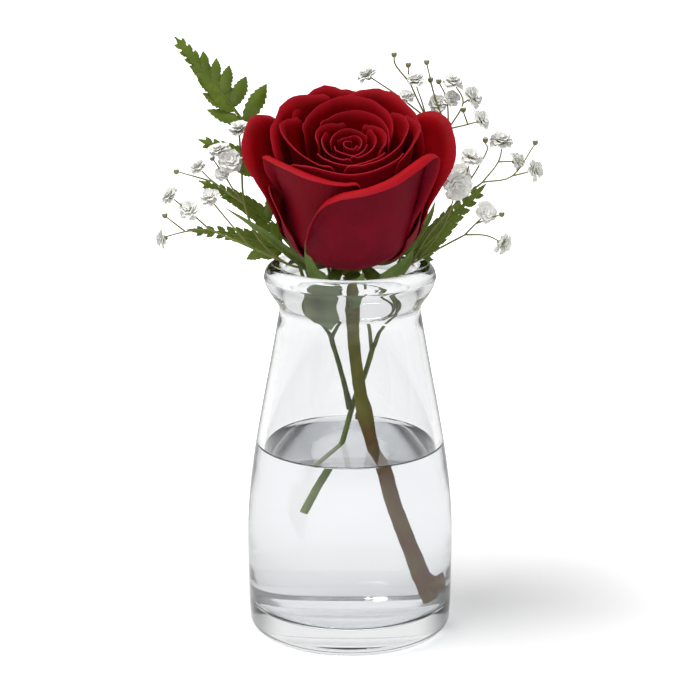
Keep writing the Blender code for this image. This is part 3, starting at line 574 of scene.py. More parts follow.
def make_water(settings):
    """Still water with a small meniscus, just wetting the wall."""
    level = WATER_TOP - WATER_DROP
    wall = [(r, z) for r, z in inner_profile() if z < level + 1.2 and r > 1.0]
    edge = wall[0][0]
    points = [(0.0, level), (edge - 4.0, level), (edge - 2.4, level + 0.1), (edge - 1.2, level + 0.35),
              (edge - 0.5, level + 0.8), (edge + WETTING, level + 1.3)]
    points += [(r + WETTING, z - (WETTING if z < BASE_THICKNESS + 3 else 0.0)) for r, z in wall[1:]]
    points.append((0.0, BASE_THICKNESS - WETTING))
    bm = turned(points, settings.segments)
    water = clear_material("still water", settings.water_tint, WATER_IOR, WATER_SHADE)
    keep_piece("vase_water", bm, [water], ["water"], angle=50)


# Rose stem


ROSE_STEM = [(0.4, 3.2, 125.5), (1, 2.6, 121), (1, 0.6, 107), (2, -1.2, 96),
             (3.4, -3, 86.5), (5, -5, 78.5), (7, -6.8, 70.5), (9.2, -8, 62),
             (12.4, -9.2, 48), (17, -10, 34), (20.8, -9.7, 22.5), (24, -8.6, 13.2)]
ROSE_STEM_RADII = [2.9, 2.35, 2.2, 2.1, 2.2, 2.85, 2.25, 2.15, 2.3, 2.5, 2.9, 3]
HEEL_STUB = [(19.6, -9.5, 25.5), (22, -8.9, 20.4), (25.2, -8, 18), (29, -7, 19)]
NODE_SPUR = [(4.6, -4.6, 80), (3, -4.6, 78.2), (2.2, -4.4, 76.4)]


def head_point(across, back, along):
    return HEAD_BASE + Vector((1, 0, 0)) * across + HEAD_REAR * back + HEAD_AXIS * along


def make_rose_stem(settings):
    bm = bmesh.new()
    sweep_stalk(bm, ROSE_STEM, ROSE_STEM_RADII, sides=22, steps=8, knobble=0.10)
    sweep_stalk(bm, HEEL_STUB, [1.8, 3.2, 3.4, 3.4], sides=16, steps=6, knobble=0.16,
                across=Vector((0.0, 1.0, 0.0)))
    sweep_stalk(bm, NODE_SPUR, [1.5, 1.2, 0.5], sides=12, steps=4, knobble=0.1)
    cup = [head_point(0.3, 0.9, -7.5), head_point(0.1, 0.8, -5.4), head_point(0, 0.6, -3.0),
           head_point(0, 0.2, -0.6), head_point(0, 0, 3.0), head_point(0, 0, 8.0), head_point(0, 0, 13.0)]
    sweep_stalk(bm, cup, [2.9, 4.4, 5.5, 4.6, 3.0, 2.0, 1.0], sides=20, steps=4, knobble=0.05)
    keep_piece("stem_of_rose", bm, [stem_material(settings)], ["rose_stem"])


# Rose petals

# One row per petal: belly radius, roll of the rim in degrees (first side, middle, last
# side; 0 stands straight up, 90 lies flat outward), length of the rolled part in mm,
# ruffle in mm, how much of the duller outer tone its back has, and its margin as
# (direction in degrees, radius, height) points; 0 right, 90 back, -90 front.
# A radius of 0 means on the bowl.
PETALS = [
    (1.9, (0, 0, 0), 2, 0.1, 0.3,
     [(50, 0, 20), (62, 1, 44.6), (110, 1.5, 46.6), (170, 1.9, 47), (230, 2.2, 46.8),
      (290, 2.6, 46.4), (338, 2.9, 45), (350, 0, 20)]),
    (3.3, (0, 14, 22), 2, 0.25, 0.3,
     [(-84, 0, 20), (-76, 2.9, 44.8), (-40, 3.3, 46.2), (6, 3.6, 47.1), (48, 3.9, 47.4),
      (92, 3.8, 46.9), (138, 4.1, 46.3), (158, 4.2, 44.6), (166, 0, 20)]),
    (4.5, (10, 20, 30), 2.4, 0.3, 0.3,
     [(-182, 0, 20), (-176, 5, 44.4), (-148, 5.2, 46), (-112, 4.9, 46.2), (-78, 5.1, 45.8),
      (-40, 5.3, 46.4), (-12, 5.9, 46.2), (-2, 0, 20)]),
    (5.8, (10, 22, 16), 2.6, 0.3, 0.3,
     [(14, 0, 22), (20, 5.9, 45.2), (48, 6.3, 47.2), (88, 6.9, 47.8), (124, 6.9, 47.6),
      (160, 6.4, 46.6), (184, 6.1, 44.8), (190, 0, 22)]),
    (7, (16, 26, 40), 2.8, 0.35, 0.3,
     [(-98, 0, 22), (-92, 6.9, 44.6), (-66, 7.3, 46.2), (-36, 7.5, 46.6), (-8, 8.2, 47.2),
      (22, 8.7, 47.5), (50, 8.3, 46.6), (60, 0, 22)]),
    (8.2, (40, 26, 16), 2.8, 0.35, 0.3,
     [(132, 0, 22), (140, 8.8, 45.8), (164, 9.3, 47.2), (196, 8.8, 47), (226, 8.5, 46.4),
      (252, 8.4, 46.2), (276, 8.5, 44.6), (284, 0, 22)]),
    (9.4, (20, 42, 30), 3, 0.3, 0.35,
     [(90, 0, 24), (96, 10.2, 45.8), (112, 10.9, 47.8), (132, 11.5, 48.7), (150, 11.9, 49),
      (172, 11.5, 48.3), (192, 10.7, 46.8), (200, 0, 26)]),
    (9.5, (30, 42, 20), 3, 0.3, 0.35,
     [(-36, 0, 26), (-28, 10.7, 46.4), (-8, 11.5, 47.9), (14, 12, 48.8), (36, 11.7, 48.8),
      (56, 11, 47.7), (68, 10.3, 45.6), (74, 0, 24)]),
    (10.6, (20, 16, 24), 2.6, 0.35, 0.35,
     [(-168, 0, 26), (-160, 11.8, 44.8), (-138, 11.3, 46.4), (-110, 11, 46.3), (-88, 10.8, 46),
      (-62, 11.1, 46.6), (-38, 11.8, 46.8), (-20, 12.4, 45.4), (-14, 0, 26)]),
    (12, (10, 26, 16), 3.2, 0.35, 0.4,
     [(-12, 0, 26), (-6, 12.4, 45.8), (12, 12.9, 47.8), (34, 13.8, 49.1), (56, 14.7, 49.8),
      (76, 15, 49.9), (98, 14.7, 49.5), (120, 13.9, 48.6), (140, 13.1, 47), (150, 0, 26)]),
    (14.2, (10, 34, 60), 3.6, 0.5, 0.4,
     [(-106, 0, 28), (-98, 12.9, 45.4), (-72, 12.7, 46.9), (-44, 13.6, 47.2), (-20, 15.3, 47.9),
      (2, 18, 49), (18, 20.2, 49.8), (32, 21, 50.2), (42, 20.8, 49.4), (50, 20.2, 46.6),
      (52, 0, 26)]),
    (15.2, (60, 50, 14), 3.8, 0.5, 0.4,
     [(138, 0, 28), (142, 20.4, 46.6), (150, 22.6, 49), (162, 24.4, 50.1), (174, 22.2, 49),
      (188, 19.2, 48), (206, 16.6, 47.2), (230, 15, 46.7), (250, 14.4, 45.6), (258, 0, 28)]),
    (13.1, (14, 44, 30), 3.8, 0.5, 0.45,
     [(8, 0, 28), (14, 14, 46.4), (28, 15.8, 48.6), (46, 18.2, 50), (66, 20.3, 50.9),
      (86, 21.4, 51.4), (104, 21.2, 51.2), (124, 19.8, 50.4), (144, 18, 49.2), (160, 16.2, 47.4),
      (168, 0, 28)]),
    (16.8, (40, 16, 20), 3, 0.45, 0.5,
     [(-158, 0, 28), (-155, 21.2, 43.6), (-148, 20.8, 46.2), (-134, 18.2, 46.9), (-116, 16.2, 46.3),
      (-94, 15.4, 45.7), (-70, 15.4, 45.6), (-46, 16.3, 46.2), (-26, 17.6, 46.6), (-14, 18.2, 45.4),
      (-10, 0, 28)]),
    (18, (16, 60, 50), 3.8, 0.5, 0.5,
     [(-38, 0, 30), (-33, 18.2, 44), (-20, 19.2, 46.8), (-6, 20.8, 48.2), (6, 22.8, 49.3),
      (16, 23.9, 49.8), (27, 23.3, 49.4), (38, 22.2, 47.6), (48, 0, 30)]),
    (19.2, (50, 66, 36), 4.4, 0.7, 0.6,
     [(198, 0, 26), (194, 23.6, 38), (186, 25, 44.6), (172, 26.4, 47.6), (158, 27.2, 48.6),
      (147, 28.6, 49.8), (138, 29, 50.6), (130, 27.6, 51.2), (118, 25.2, 50.9), (106, 22.8, 49.2),
      (100, 0, 30)]),
    (20.1, (36, 66, 36), 4.4, 0.7, 0.6,
     [(8, 0, 26), (9, 24.6, 40), (16, 25, 45.4), (28, 25.2, 48.6), (42, 25.8, 50.4),
      (56, 26.6, 51.6), (68, 26.2, 52), (80, 24.8, 51.7), (92, 23.2, 50.4), (99, 22, 47.6),
      (102, 0, 30)]),
    (20.8, (120, 132, 60), 4.8, 0.5, 0.8,
     [(178, 0, 22), (178, 26, 34), (180, 27.6, 41.6), (187, 27.8, 44.2), (196, 25.6, 45.2),
      (207, 23.6, 45.8), (220, 21.6, 45.6), (234, 20.2, 45.1), (250, 19.5, 44.7), (266, 19.2, 44.4),
      (280, 19, 43), (286, 0, 30)]),
    (21.4, (36, 60, 36), 4.4, 0.7, 0.6,
     [(146, 0, 28), (142, 25.2, 44.4), (130, 27, 49.6), (120, 27, 51.4), (110, 26.8, 52.8),
      (101, 25.6, 51.9), (88, 25.2, 51), (74, 24.6, 49), (66, 23.4, 44), (62, 0, 28)]),
    (22.3, (70, 150, 130), 6.4, 0.45, 1,
     [(-131, 0, 6), (-131, 0, 15), (-127, 23.2, 24), (-119, 23.4, 33), (-110, 23, 39.2),
      (-98, 22.6, 42.3), (-84, 22.4, 43.6), (-67, 22.4, 44.6), (-50, 22.8, 45.6), (-34, 23.5, 46.4),
      (-20, 24.8, 46.7), (-9, 26.6, 45.8), (-3, 27.6, 42.6), (-5, 26.8, 37), (-14, 25.2, 30.6),
      (-26, 23.8, 25), (-32, 0, 17), (-34, 0, 7)]),
    (23.2, (20, 30, 20), 3, 0.4, 1,
     [(154, 0, 8), (158, 24.2, 20), (171, 25.8, 27), (186, 27, 30.4), (200, 26, 27.8),
      (214, 24.4, 21), (222, 0, 8)]),
    (23.6, (20, 24, 20), 3, 0.4, 0.9,
     [(-40, 0, 6), (-36, 24.2, 18.6), (-22, 24.9, 23.6), (-8, 25.3, 26.4), (8, 25.1, 24),
      (22, 24.4, 18.6), (26, 0, 6)]),
    (22.6, (20, 40, 20), 3.6, 0.8, 0.8,
     [(40, 0, 14), (42, 25, 32), (54, 26.6, 42.6), (70, 27.6, 46.4), (86, 28, 47.6),
      (102, 27.6, 46.6), (116, 26.4, 42.4), (127, 24.8, 32), (129, 0, 14)]),
    (24.2, (40, 96, 60), 5.6, 0.8, 0.8,
     [(124, 0, 10), (126, 26, 28), (134, 28.8, 38.4), (143, 31.6, 44), (151, 34.2, 46.8),
      (157, 36, 47), (163, 36.4, 44.4), (169, 36.2, 41.2), (176, 34.4, 36.6), (182, 31, 31),
      (187, 27.2, 24.6), (190, 0, 14), (188, 0, 6)]),
    (24.9, (60, 96, 40), 5.6, 0.8, 0.8,
     [(-12, 0, 8), (-10, 0, 16), (-6, 27.6, 23.6), (-2, 31.2, 31), (3, 34, 36.8),
      (10, 35.6, 41.4), (19, 35.8, 45.2), (28, 34.8, 47.4), (37, 32.4, 46.4), (46, 29.6, 41.6),
      (53, 26.8, 31), (56, 0, 12)]),
    (26, (50, 104, 50), 5.6, 0.9, 1,
     [(94, 0, 6), (93, 0, 16), (97, 28.4, 28), (106, 31.4, 36.6), (118, 33.2, 40.8),
      (130, 33.8, 42.4), (143, 33, 40.2), (154, 30.6, 35), (162, 27.8, 25), (164, 0, 14),
      (162, 0, 6)]),
    (26.2, (50, 104, 50), 5.6, 0.9, 1,
     [(18, 0, 6), (17, 0, 14), (21, 27.8, 25), (30, 31, 33.6), (41, 32.8, 38.4),
      (54, 33.6, 40.2), (67, 33, 38.6), (79, 30.8, 33.4), (86, 28, 24), (87, 0, 14),
      (85, 0, 6)]),
]


def bowl_bottom(belly):
    """Height at which a petal's bowl starts; inner petals start higher."""
    return (BOWL_RADIUS + 1.5 - belly) * 0.52


def bowl_radius(belly, level):
    """Radius of a petal's cupped lower part at a height."""
    bottom = bowl_bottom(belly)
    if level >= BOWL_HEIGHT:
        return belly
    drop = min(1.0, (BOWL_HEIGHT - level) / (BOWL_HEIGHT - bottom))
    return belly * math.sqrt(max(0.0, 1.0 - drop * drop))


def resampled(points, count):
    """The same line with evenly spaced points, and its length."""
    lengths = [0.0]
    for one, two in zip(points, points[1:]):
        lengths.append(lengths[-1] + (two - one).length)
    total = lengths[-1]
    result = []
    place = 0
    for i in range(count):
        target = total * i / (count - 1)
        while place < len(points) - 2 and lengths[place + 1] < target:
            place += 1
        span = lengths[place + 1] - lengths[place]
        share = (target - lengths[place]) / span if span > 1e-9 else 0.0
        result.append(points[place].lerp(points[place + 1], min(1.0, share)))
    return result, total


def petal_margin(belly, margin, count):
    """Evenly spaced (direction, radius, height) points along a petal's free edge."""
    knots = []
    for direction, radius, level in margin:
        radius = radius or bowl_radius(belly, level)
        knots.append(Vector((math.radians(direction) * MARGIN_SPREAD, radius, level)))
    curve = resampled(smooth_path(knots, 8), count)[0]
    return [(co.x / MARGIN_SPREAD, co.y, co.z) for co in curve]


def petal_section(belly, radius, level, roll, reach, claw, rows):
    """From the claw up the bowl to one point of the margin, as (radius, height) points."""
    drop = BOWL_HEIGHT - bowl_bottom(belly)
    last = math.pi / 2
    if level < BOWL_HEIGHT:
        last = max(claw + 0.02, math.acos(min(1.0, (BOWL_HEIGHT - level) / drop)))
    points = []
    for i in range(BOWL_STEPS + 1):
        turn = claw + (last - claw) * i / BOWL_STEPS
        points.append(Vector((belly * math.sin(turn), BOWL_HEIGHT - drop * math.cos(turn), 0.0)))
    if level > BOWL_HEIGHT:
        rise = level - BOWL_HEIGHT
        lean = 0.8 * math.atan2(radius - belly, rise)
        arc = []
        end = Vector((radius, level, 0.0))
        if roll > lean + 0.09:
            curl = min(reach, rise * 0.35) / (roll - lean)
            centre = Vector((radius, level - curl, 0.0))
            if roll < math.pi / 2:
                centre = end - Vector((-math.cos(roll), math.sin(roll), 0.0)) * curl
            for i in range(ROLL_STEPS + 1):
                turn = lean + (roll - lean) * i / ROLL_STEPS
                arc.append(centre + Vector((-math.cos(turn), math.sin(turn), 0.0)) * curl)
            end = arc[0]
        first = Vector((belly, BOWL_HEIGHT, 0.0))
        second = Vector((belly + rise * 0.02, BOWL_HEIGHT + rise * 0.4, 0.0))
        third = end - Vector((math.sin(lean), math.cos(lean), 0.0)) * (end - first).length * 0.3
        for i in range(1, RISE_STEPS + 1):
            t = i / RISE_STEPS
            points.append(first * (1 - t) ** 3 + second * 3 * t * (1 - t) ** 2
                          + third * 3 * t * t * (1 - t) + end * t ** 3)
        points += arc[1:]
    return resampled(points, rows + 1)


def petal_columns(index, petal, columns, rows):
    """Every line from the claw to the margin, as (direction, radius, height) points."""
    belly, rolls, reach, ruffle, _, margin = petal
    edge = petal_margin(belly, margin, columns + 1)
    low = min(point[0] for point in edge)
    high = max(point[0] for point in edge)
    middle = (low + high) / 2
    claw_half = min((high - low) / 2, math.radians(CLAW_SPREAD))
    claw = math.asin(min(0.95, (3.9 if belly > 9 else 1.7) / max(belly, 2.8) + 0.02))
    if margin[0][0] > margin[-1][0]:
        claw_half = -claw_half
    lines = []
    for column, (direction, radius, level) in enumerate(edge):
        u = column / columns * 2.0 - 1.0
        side = rolls[2] if u > 0 else rolls[0]
        roll = math.radians(rolls[1] + (side - rolls[1]) * abs(u) ** 1.5)
        section, total = petal_section(belly, radius, level, roll, reach, claw, rows)
        line = []
        for row, point in enumerate(section):
            climb = row / rows
            opened = min(1.0, climb * total / min(OPENING_LENGTH, total))
            opened = opened * opened * (3 - 2 * opened)
            turn = middle + u * claw_half
            turn += (direction - turn) * opened
            place = Vector((math.cos(turn) * point.x, math.sin(turn) * point.x, point.y))
            wave = noise.noise(place * WAVE_SCALE + Vector((index * 3.1, 0.0, index * 1.7)))
            ripple = noise.noise(place * RIPPLE_SCALE + Vector((0.0, index * 2.3, 7.0)))
            share = climb ** 2.2
            out = point.x + ruffle * share * (wave + 0.5 * ripple)
            up = point.y + ruffle * 0.6 * climb ** 4 * ripple
            line.append((turn, out, up))
        lines.append(line)
    return lines


def make_petal(index, petal, settings, material):
    columns = settings.columns
    rows = settings.rows
    rolls, tone = petal[1], petal[4]
    lines = petal_columns(index, petal, columns, rows)
    bm = bmesh.new()
    rim_highlight = bm.verts.layers.float.new("rim_highlight")
    outer = bm.verts.layers.float.new("outer")
    margin_shade = bm.verts.layers.float.new("margin_shade")
    uv_layer = bm.loops.layers.uv.new("UVMap")
    bmesh.ops.create_grid(bm, x_segments=columns, y_segments=rows, size=1.0)
    for face in bm.faces:
        for loop in face.loops:
            loop[uv_layer].uv = (loop.vert.co.x * 0.5 + 0.5, loop.vert.co.y * 0.5 + 0.5)
    for vert in bm.verts:
        column = round((vert.co.x + 1.0) / 2.0 * columns)
        row = round((vert.co.y + 1.0) / 2.0 * rows)
        turn, radius, level = lines[column][row]
        # Masks for the painted highlight along the free edge and the painted shade darkening the inner
        # face towards the margin
        vert[rim_highlight] = max(0.0, (row / rows - RIM_HIGHLIGHT_START) / RIM_HIGHLIGHT_SPAN)
        if rolls[1] < ROLLED_OVER:
            vert[margin_shade] = min(1.0, max(0.0, (row / rows - MARGIN_SHADE_START) / MARGIN_SHADE_SPAN)) ** MARGIN_SHADE_FADE
        vert.co = head_point(radius * math.cos(turn), radius * math.sin(turn), level)
    inside = list(bm.verts)
    fresh = give_thickness(bm, list(bm.faces), settings.thickness)
    if head_distance(fresh) < head_distance(inside):
        fresh = inside
    for vert in fresh:
        vert[outer] = tone
    bmesh.ops.recalc_face_normals(bm, faces=bm.faces)
    node = "petal_%02d" % index
    keep_piece("rose_" + node, bm, [material], [node], angle=75)


def head_distance(verts):
    """Mean distance of vertices from the head's axis."""
    total = 0.0
    for vert in verts:
        offset = vert.co - HEAD_BASE
        total += (offset - HEAD_AXIS * offset.dot(HEAD_AXIS)).length
    return total / len(verts)


def make_petals(settings):
    material = petal_material(settings)
    for index, petal in enumerate(PETALS, start=1):
        make_petal(index, petal, settings, material)


# Sepals, neck leaf and fern


# The widest part of the swelling that carries the sepals
RECEPTACLE_RADIUS = 5.5


def sepal_root(direction):
    turn = math.radians(direction)
    return head_point(RECEPTACLE_RADIUS * math.cos(turn), 0.6 + RECEPTACLE_RADIUS * math.sin(turn), -3.0)


def make_sepals(settings):
    green = leaf_material("sepal green", settings.sepal, 0.45, 130.0)
    front = Vector((0.0, -1.0, 0.2))
    rows = [
        ("sepal_1", [sepal_root(-130), (-7.4, -11.0, 126.4), (-11.8, -15.6, 130.6), (-14.0, -18.6, 137.0),
                     (-14.8, -19.6, 143.4)], 2.3, 0.5),
        ("sepal_2", [sepal_root(-80), (1.6, -12.0, 125.2), (3.4, -16.6, 128.0), (4.4, -18.2, 131.6)],
         3.2, 0.55),
        ("sepal_3", [sepal_root(-30), (10.0, -10.4, 126.8), (15.6, -12.2, 130.6), (19.4, -11.6, 134.6),
                     (21.6, -10.2, 138.8)], 2.5, 0.55),
        ("sepal_4", [sepal_root(182), (-14.0, 0.2, 130.0), (-20.6, -1.6, 134.6), (-28.4, -4.2, 141.6),
                     (-35.0, -5.8, 146.6), (-42.0, -6.4, 151.2)], 1.6, 0.5),
        ("sepal_5", [sepal_root(20), (13.0, 3.6, 131.4), (21.4, 1.0, 139.0), (26.6, -1.6, 146.6),
                     (28.8, -2.6, 152.6)], 1.9, 0.6),
    ]
    for name, points, width, fullness in rows:
        bm = bmesh.new()
        sweep_leaf(bm, points, width, front, steps=8, columns=8, fullness=fullness, fold=-0.25,
                   thickness=0.3, base=0.35)
        bmesh.ops.recalc_face_normals(bm, faces=bm.faces)
        keep_piece("rose_" + name, bm, [green], [name])


def make_neck_leaf():
    grey = leaf_material("pressed leaf", GREY_GREEN, 0.5, 90.0)
    bm = bmesh.new()
    sweep_leaf(bm, [(-10.4, -6.4, 126.4), (-9.4, -7.9, 121.0), (-8.0, -8.0, 115.0), (-6.4, -7.4, 108.6)],
               5.4, Vector((0.0, -1.0, 0.0)), steps=8, columns=10, fullness=0.8, fold=-0.15,
               base=0.8, thickness=0.3)
    bmesh.ops.recalc_face_normals(bm, faces=bm.faces)
    keep_piece("pressed_leaf", bm, [grey], ["leaf_neck"])


FERN_FACING = Vector((0.1, -1.0, 0.25)).normalized()

# One row per frond: name, rachis radius, spine, leaflets as (root, tip, half width), and the
# comb at its end as (where it starts along the spine, pairs of lobes, lobe length)
FRONDS = [
    ("fern_left_tall", 0.85,
     [(-3.45, 3.3, 111.5), (-6, 12.6, 126), (-8.6, 17.6, 139), (-22, 22, 157),
      (-37, 22.6, 176), (-46, 22.6, 188), (-60, 22, 205)],
     [((-36.5, 22.6, 175.4), (-28.6, 22, 189), 3.3), ((-40.5, 22.6, 180.8), (-35.6, 22, 191.6), 2.9),
      ((-43.6, 22.6, 185), (-41.4, 22.2, 195.4), 2.5), ((-46.4, 22.6, 188.6), (-45.8, 22.4, 197.8), 2.1),
      ((-49.4, 22.5, 192.6), (-50.4, 22.4, 200.2), 1.8), ((-36, 22.6, 174.6), (-49.6, 23, 179.8), 2.5),
      ((-39.6, 22.6, 179.4), (-51, 23, 185.6), 2.5), ((-43, 22.6, 184), (-52.6, 22.8, 190.4), 2.3),
      ((-46.4, 22.6, 188.4), (-54.8, 22.6, 194.6), 2), ((-50, 22.3, 192.8), (-60.2, 22, 205.4), 1.7)],
     (0.76, 10, 5.8)),
    ("fern_left_upper", 0.7,
     [(-6.4, 6.4, 113.6), (-7.8, 12.6, 127.2), (-17, 17, 143), (-28, 18.8, 156),
      (-38, 18.8, 164), (-52, 18, 170)],
     [((-34, 18.8, 161), (-31, 18.6, 169.4), 2), ((-30, 18.8, 158), (-40, 18.6, 159.6), 2),
      ((-44, 18.4, 166.8), (-52.6, 18, 170.4), 1.1)],
     (0.66, 8, 5.6)),
    ("fern_left_middle", 0.7,
     [(-10.6, 2.6, 111.2), (-15.2, 8.8, 126.6), (-20.6, 12.6, 134), (-30, 14.6, 143.6),
      (-40, 14.8, 150.6), (-52, 14, 156.4)],
     [((-25, 14, 138.4), (-19.8, 14.6, 152.4), 2.4), ((-29, 14.5, 142.6), (-25.6, 14.6, 153.6), 2.4),
      ((-26, 14.2, 139.6), (-35, 14.4, 140.6), 2), ((-43, 14.6, 152.2), (-52.4, 14, 156.8), 1.1)],
     (0.56, 10, 4.8)),
    ("fern_left_low", 0.7,
     [(-11.4, 1, 110.8), (-16.6, 6.4, 125.6), (-19, 9, 130.4), (-28, 10.6, 134.6),
      (-40, 10.8, 138.4), (-56, 10, 140)],
     [((-23.5, 10, 132.4), (-32, 9, 131), 2.2), ((-27, 10.6, 134.2), (-36, 10.4, 129.6), 2.4),
      ((-24, 10.2, 132.8), (-27, 10.6, 143.6), 2.2), ((-46, 10.6, 139.1), (-56.6, 10, 140.2), 1.1)],
     (0.52, 10, 5)),
    ("fern_right", 0.7,
     [(12.4, 8, 108), (16.4, 8.6, 123.6), (18.4, 9.2, 129.6), (27, 12, 135.4),
      (36, 13, 145), (46.6, 12.6, 155.4)],
     [((20.6, 10, 131), (29, 9.4, 129.6), 1.8), ((22, 10.6, 132), (21, 11.8, 141), 2),
      ((39, 12.8, 148), (47, 12.6, 156), 1.2)],
     (0.44, 10, 6.6)),
]

# One row per stalk: name, path, radii, forks and colour
STALKS = [
    ("fern_stalk_short", [(0, -0.6, 79), (-2, -0.8, 88), (-4.4, -0.6, 97), (-6.8, 0.2, 104.5)],
     [1.25, 0.9, 0.85, 0.9],
     [[(-6.4, 0, 103.4), (-8.4, 0.8, 107), (-10.2, 2, 110)],
      [(-6.4, 0, 103.4), (-4.6, 1.2, 107.5), (-3.6, 3, 111)]], (0.05, 0.075, 0.015)),
    ("fern_stalk_long", [(-12.2, -1, 43), (-7.2, 0.2, 55), (-2.8, 1.4, 66), (1.6, 4, 81),
                         (5.2, 5.4, 89.5), (8, 6, 99)],
     [1.15, 1.1, 1, 0.95, 0.9, 0.95],
     [[(7.6, 6, 97.8), (10, 7, 102.4), (12, 7.6, 106.5)],
      [(7.6, 6, 97.8), (7, 6.6, 104), (6.2, 7.4, 110)]], (0.095, 0.15, 0.02)),
]


def comb_lobes(bm, spine, comb):
    """Paired toothed lobes that shorten towards the tip, on a narrow winged midrib."""
    start, count, length = comb
    path = smooth_path(spine, 10)
    last = len(path) - 1
    first = int(start * last)
    wing = [path[first + (last - first) * k // 4] for k in range(5)]
    sweep_leaf(bm, wing, length * 0.30, FERN_FACING, steps=6, columns=2, teeth=count, tooth=0.3,
               fullness=0.45, fold=0.1)
    for k in range(count):
        share = first + (last - first) * (k + 0.2) / (count + 0.6)
        low = int(share)
        point = path[low].lerp(path[min(low + 1, last)], share - low)
        tangent = (path[min(low + 2, last)] - path[max(low - 1, 0)]).normalized()
        side = FERN_FACING.cross(tangent).normalized()
        size = length * (1.0 - 0.56 * (k / count) ** 1.4)
        for sign in (1, -1):
            tip = point + (tangent * 0.84 + side * sign * 0.66) * size
            middle = point.lerp(tip, 0.5) - tangent * size * 0.07 + FERN_FACING * 0.3
            sweep_leaf(bm, [point, middle, tip], size * 0.36, FERN_FACING, steps=6, columns=2,
                       teeth=4, tooth=0.28, fullness=0.7, fold=0.14, base=0.7, thickness=0.2)


def make_frond(name, radius, spine, leaflets, comb, material):
    """A fern pinna: a fine rachis and toothed leaflets that lie roughly in one plane."""
    bm = bmesh.new()
    sweep_stalk(bm, spine, [radius, radius * 0.85, radius * 0.65, 0.22], sides=8, steps=6)
    for root, tip, width in leaflets:
        root = Vector(root)
        tip = Vector(tip)
        bow = FERN_FACING * 0.8
        path = [root, root.lerp(tip, 0.4) + bow, root.lerp(tip, 0.75) + bow * 0.6, tip]
        sweep_leaf(bm, path, width, FERN_FACING, steps=10, columns=4, teeth=8, tooth=0.26,
                   fullness=0.72, fold=0.16)
    comb_lobes(bm, spine, comb)
    keep_piece("frond_" + name, bm, [material], [name], angle=50)


def make_fern(settings):
    green = leaf_material("fern green", settings.fern, 0.4, 200.0, FERN_PALE)
    for name, radius, spine, leaflets, comb in FRONDS:
        make_frond(name, radius, spine, leaflets, comb, green)
    for name, path, radii, forks, colour in STALKS:
        bm = bmesh.new()
        sweep_stalk(bm, path, radii, sides=12, steps=6, knobble=0.12)
        for fork in forks:
            sweep_stalk(bm, fork, [0.8, 0.7, 0.62], sides=10, steps=5, knobble=0.12)
        material = leaf_material(name.replace("_", " "), colour, 0.45, 150.0)
        keep_piece("stalk_" + name, bm, [material], [name])


# White sprays

